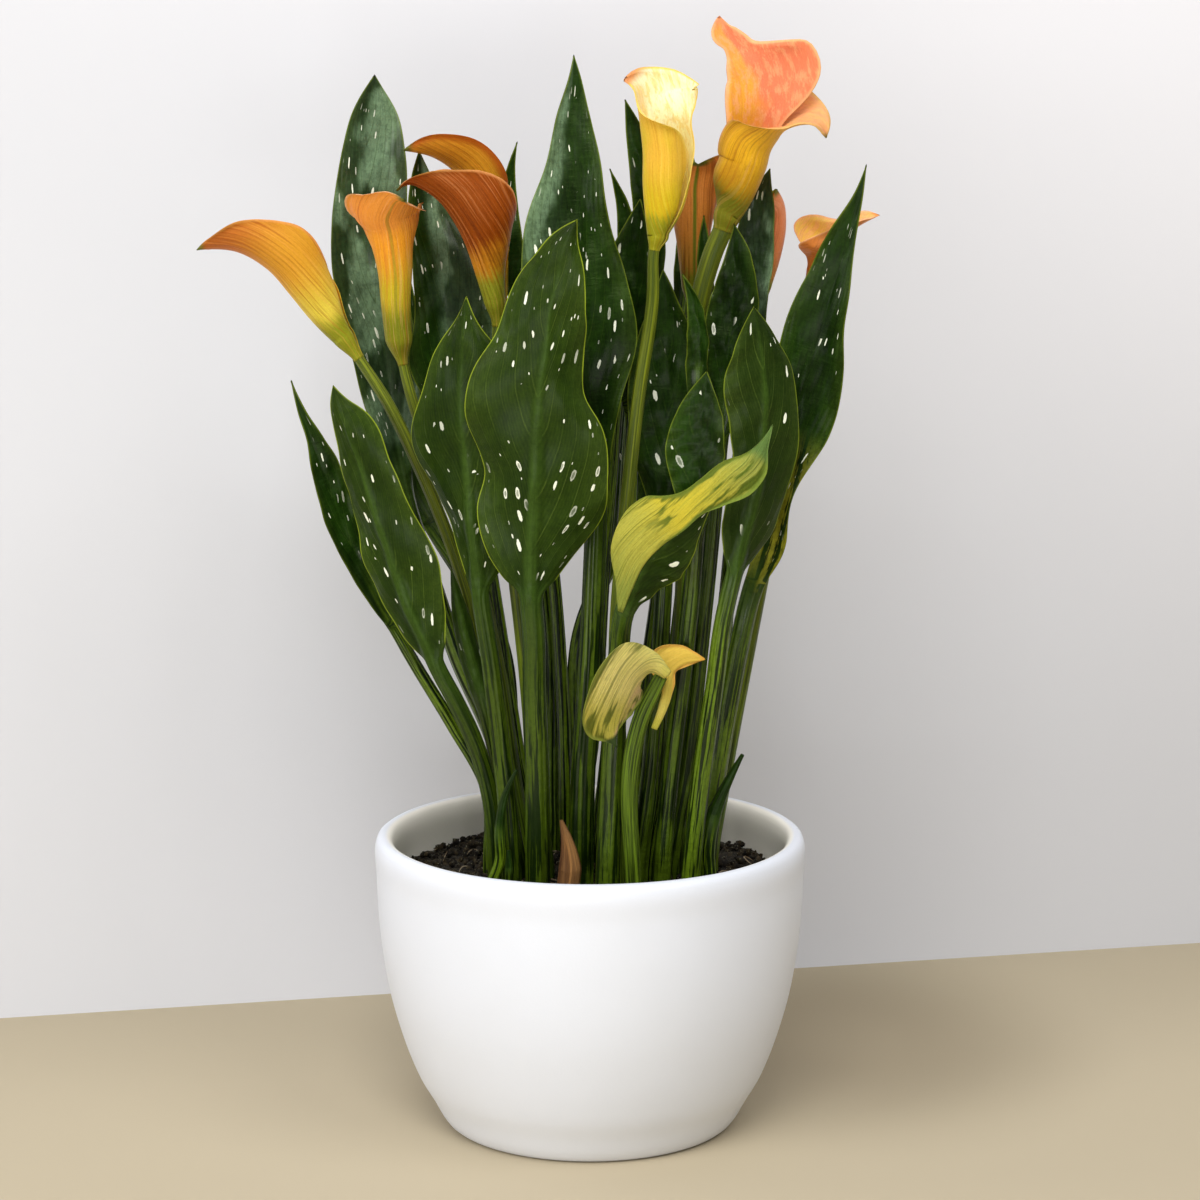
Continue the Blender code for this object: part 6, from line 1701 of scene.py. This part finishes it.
def strew_crumbs(draw):
    """Crumbs and bark all over the soil, most of them small."""
    count = sizes().crumbs
    way = draw.uniform(0, 2 * np.pi, count)
    far = SOIL_RADIUS * 0.985 * np.sqrt(draw.uniform(0, 1, count))
    x, y = far * np.cos(way), far * np.sin(way)
    small = draw.uniform(0.25, 1.0, count) ** 1.8 * sizes().crumb / MM
    small = np.minimum(small, np.maximum(0.6, SOIL_RADIUS - far))
    z = SOIL_TOP - 1.4 + soil_height(x, y) + draw.uniform(-0.3, 0.8, count) * small
    body = small[:, None] * draw.uniform([0.6, 0.5, 0.35], [1.1, 0.9, 0.7], (count, 3))
    turns = draw.uniform(0, 2 * np.pi, (count, 3))
    points, face = lumps(np.stack([x, y, z], -1), body, turns)
    new_piece("soil_crumbs", points, [face], soil_material("crumbs"))


def root_material():
    """Dry, pale skin of a root with darker spots."""
    material, b, shader = surface("dry root", {"Specular IOR Level": 0.3, "Roughness": 0.8})
    spots = b.step(b.noise(b.place(), 180.0), 0.3, 0.7)
    shade = b.mix(spots, (*tint(112, 92, 66), 1), (*palette().root, 1))
    b.link(shade, shader.inputs["Base Color"])
    return material


def strew_roots(draw):
    """Thin bent roots that lie on the soil, their middles humped a little."""
    count = sizes().roots
    steps = np.linspace(0, 1, ROOT_STEPS)[None, :]
    way, far = draw.uniform(0, 2 * np.pi, count), 80 * np.sqrt(draw.uniform(0.1, 1, count))
    head, bend = draw.uniform(0, 2 * np.pi, (count, 1)), draw.uniform(-3, 3, (count, 1))
    long = draw.uniform(6, 22, (count, 1))
    turn = head + bend * steps
    x = (far * np.cos(way))[:, None] + np.cumsum(np.cos(turn), axis=1) * long / ROOT_STEPS
    y = (far * np.sin(way))[:, None] + np.cumsum(np.sin(turn), axis=1) * long / ROOT_STEPS
    out = np.maximum(1, np.hypot(x, y) / (SOIL_RADIUS - 2))
    x, y = x / out, y / out
    hump = draw.uniform(0.5, 3.0, (count, 1)) * np.sin(np.pi * steps)
    z = SOIL_TOP - 0.8 + soil_height(x, y) + hump
    taper = np.sin(np.pi * (0.04 + 0.92 * steps)) ** 0.4
    thick = sizes().root / MM * draw.uniform(0.6, 1.5, (count, 1)) * taper
    points, faces = threads(np.stack([x, y, z], -1), thick, ROOT_SIDES)
    new_piece("soil_roots", points, faces, root_material())


class CALLA_OT_soil(bpy.types.Operator):
    """Fill the pot with soil, its top uneven and strewn with crumbs, bark and dry roots"""

    bl_idname = "calla.soil"
    bl_label = "Soil"

    def execute(self, context):
        draw = np.random.default_rng(7)
        fill_bed()
        strew_crumbs(draw)
        strew_roots(draw)
        return {"FINISHED"}


def pot_material():
    """Matte white glaze with faint clouds, and painted light inside: a brighter, warmer white near the
    top of the inner wall.
    """
    fixed = {"Specular IOR Level": 0.45, "Coat Weight": 0.06, "Coat Roughness": 0.35}
    material, b, shader = surface("white pot", fixed)
    place, c = b.place(), palette()
    cloud = b.noise(place, 14.0, 4.0)
    grain = b.noise(place, 900.0, 2.0)
    clouded = b.times(b.step(cloud, 0.35, 0.75), 0.35)
    shade = b.mix(clouded, (*c.pot, 1), (*tint(220, 223, 229), 1))
    east, north, height = b.split(place)
    near, far = (limit * MM for limit in PAINTED_LIGHT_WITHIN)
    low, high = (limit * MM for limit in PAINTED_LIGHT_ABOVE)
    # Painted light: near the top of the inner wall the white turns brighter and warmer, for light
    # bounced in from the soil and floor.
    inside = b.minus(1.0, b.step(b.distance(east, north), near, far))
    shade = b.mix(b.times(inside, b.step(height, low, high)), shade, (*c.pot_inside_painted_light, 1))
    dress(b, shader, shade, b.between(cloud, 0.42, 0.54), grain, 0.08, 0.5)
    return material


class CALLA_OT_pot(bpy.types.Operator):
    """Turn the plain white pot with its rounded lip and foot"""

    bl_idname = "calla.pot"
    bl_label = "Pot"

    def execute(self, context):
        rows = np.array([(r, 0, z) for r, z in POT_PROFILE[1:-1]], float)
        path, _ = smooth(rows, np.linspace(0, 1, POT_RINGS))
        profile = [POT_PROFILE[0], *((r, max(z, 0.0)) for r, _, z in path), POT_PROFILE[-1]]
        points, faces = turned_skin(profile, POT_SIDES)
        new_piece("pot_shell", points, faces, pot_material(), "pot")
        return {"FINISHED"}


def backdrop(name, corners, material):
    """A flat four-cornered sheet of the stage, in metres."""
    mesh = bpy.data.meshes.new(name)
    mesh.from_pydata(corners, [], [(0, 1, 2, 3)])
    mesh.materials.append(material)
    obj = bpy.data.objects.new(name, mesh)
    bpy.context.scene.collection.objects.link(obj)


def lamp(name, place, aim, wide, high, watts):
    """A soft rectangular light at a place, turned to look at a point."""
    data = bpy.data.lights.new(name, "AREA")
    data.shape = "RECTANGLE"
    data.size = wide
    data.size_y = high
    data.energy = watts
    obj = bpy.data.objects.new(name, data)
    obj.location = place
    obj.rotation_euler = (Vector(aim) - Vector(place)).to_track_quat("-Z", "Y").to_euler()
    bpy.context.scene.collection.objects.link(obj)


def floor_material():
    """A beige floor with a painted shadow: a deeper beige behind the pot to its right."""
    material, b, shader = surface("floor", {"Roughness": 0.7, "Specular IOR Level": 0.2})
    east, north, _ = b.split(b.place())
    (x, y), (wide, deep) = PAINTED_SHADOW_MIDDLE, PAINTED_SHADOW_REACH
    east = b.maths("DIVIDE", b.minus(east, x), wide)
    north = b.maths("DIVIDE", b.minus(north, y), deep)
    c = palette()
    # Painted shadow: within the ellipse behind the pot the floor turns to the deeper beige, for the
    # shadow that the pot casts.
    shade = b.mix(
        b.step(b.distance(east, north), 0.2, 1.0), (*c.floor_painted_shadow, 1), (*c.floor, 1)
    )
    b.link(shade, shader.inputs["Base Color"])
    return material


def wall_material():
    """A pale wall with painted light that makes it brighter high up and on the right, and clear when it
    is looked at from behind.
    """
    material, b, shader = surface("wall", {"Roughness": 0.9, "Specular IOR Level": 0.1})
    east, _, height = b.split(b.place())
    # Painted light: the wall's colour brightens with height, sooner towards the right.
    height = b.plus(height, b.times(east, PAINTED_LIGHT_EAST_SLOPE))
    c = palette()
    shade = b.mix(b.step(height, *WALL_PAINTED_LIGHT_HEIGHTS), (*c.wall, 1), (*c.wall_painted_light, 1))
    b.link(shade, shader.inputs["Base Color"])
    behind = b.node("ShaderNodeNewGeometry", {}).outputs["Backfacing"]
    b.link(b.minus(1.0, behind), shader.inputs["Alpha"])
    return material


class CALLA_OT_stage(bpy.types.Operator):
    """Set a beige floor, a pale wall close behind that hides nothing from its back, soft lights
    and the camera"""

    bl_idname = "calla.stage"
    bl_label = "Stage"

    def execute(self, context):
        scene = context.scene
        scene.view_settings.view_transform = "Standard"
        (x0, y0), (x1, y1) = WALL_FOOT
        way = np.array([x1 - x0, y1 - y0]) / np.hypot(x1 - x0, y1 - y0) * WALL_BEYOND
        left, right = np.array([x0, y0]) - way, np.array([x1, y1]) + way
        front = [(-FLOOR_HALF, FLOOR_FRONT, 0), (FLOOR_HALF, FLOOR_FRONT, 0)]
        backdrop("floor", [*front, (*right, 0), (*left, 0)], floor_material())
        top = [(*right, WALL_HIGH), (*left, WALL_HIGH)]
        backdrop("wall", [(*left, 0), (*right, 0), *top], wall_material())

        for settings in LAMPS:
            lamp(*settings)
        world = bpy.data.worlds.new("studio")
        world.use_nodes = True
        background = world.node_tree.nodes["Background"]
        background.inputs["Color"].default_value = (1.0, 1.0, 1.0, 1)
        background.inputs["Strength"].default_value = WORLD_STRENGTH
        scene.world = world

        data = bpy.data.cameras.new("camera")
        data.lens = LENS
        data.sensor_width = SENSOR
        camera = bpy.data.objects.new("camera", data)
        camera.location = CAMERA_PLACE
        camera.rotation_euler = (np.pi / 2 - LOOKS_DOWN, 0, 0)
        scene.collection.objects.link(camera)
        scene.camera = camera
        return {"FINISHED"}


class CALLA_PT_panel(bpy.types.Panel):
    """The operators and settings of the plant"""

    bl_label = "Potted calla lily"
    bl_idname = "CALLA_PT_panel"
    bl_space_type = "VIEW_3D"
    bl_region_type = "UI"
    bl_category = "Calla lily"

    def draw(self, context):
        for operator in OPERATORS:
            self.layout.operator(operator.bl_idname)
        for group in (context.scene.calla_sizes, context.scene.calla_colours):
            box = self.layout.box()
            for name in type(group).__annotations__:
                box.prop(group, name)


OPERATORS = (
    CALLA_OT_pot, CALLA_OT_soil, CALLA_OT_leaves, CALLA_OT_shoots, CALLA_OT_stalks,
    CALLA_OT_blooms, CALLA_OT_sheets, CALLA_OT_stage,
)
CLASSES = (CallaSizes, CallaColours, *OPERATORS, CALLA_PT_panel)


def register():
    """Adds the operators, the panel and the settings."""
    for cls in CLASSES:
        bpy.utils.register_class(cls)
    bpy.types.Scene.calla_sizes = bpy.props.PointerProperty(type=CallaSizes)
    bpy.types.Scene.calla_colours = bpy.props.PointerProperty(type=CallaColours)


def unregister():
    """Takes them away again."""
    del bpy.types.Scene.calla_colours
    del bpy.types.Scene.calla_sizes
    for cls in reversed(CLASSES):
        bpy.utils.unregister_class(cls)


def corners(box):
    """A box's two corners as plain lists."""
    return [[float(v) for v in corner] for corner in box]


def main():
    """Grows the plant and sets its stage."""
    register()
    for operator in OPERATORS:
        group, name = operator.bl_idname.split(".")
        getattr(getattr(bpy.ops, group), name)()


if __name__ == "__main__":
    main()
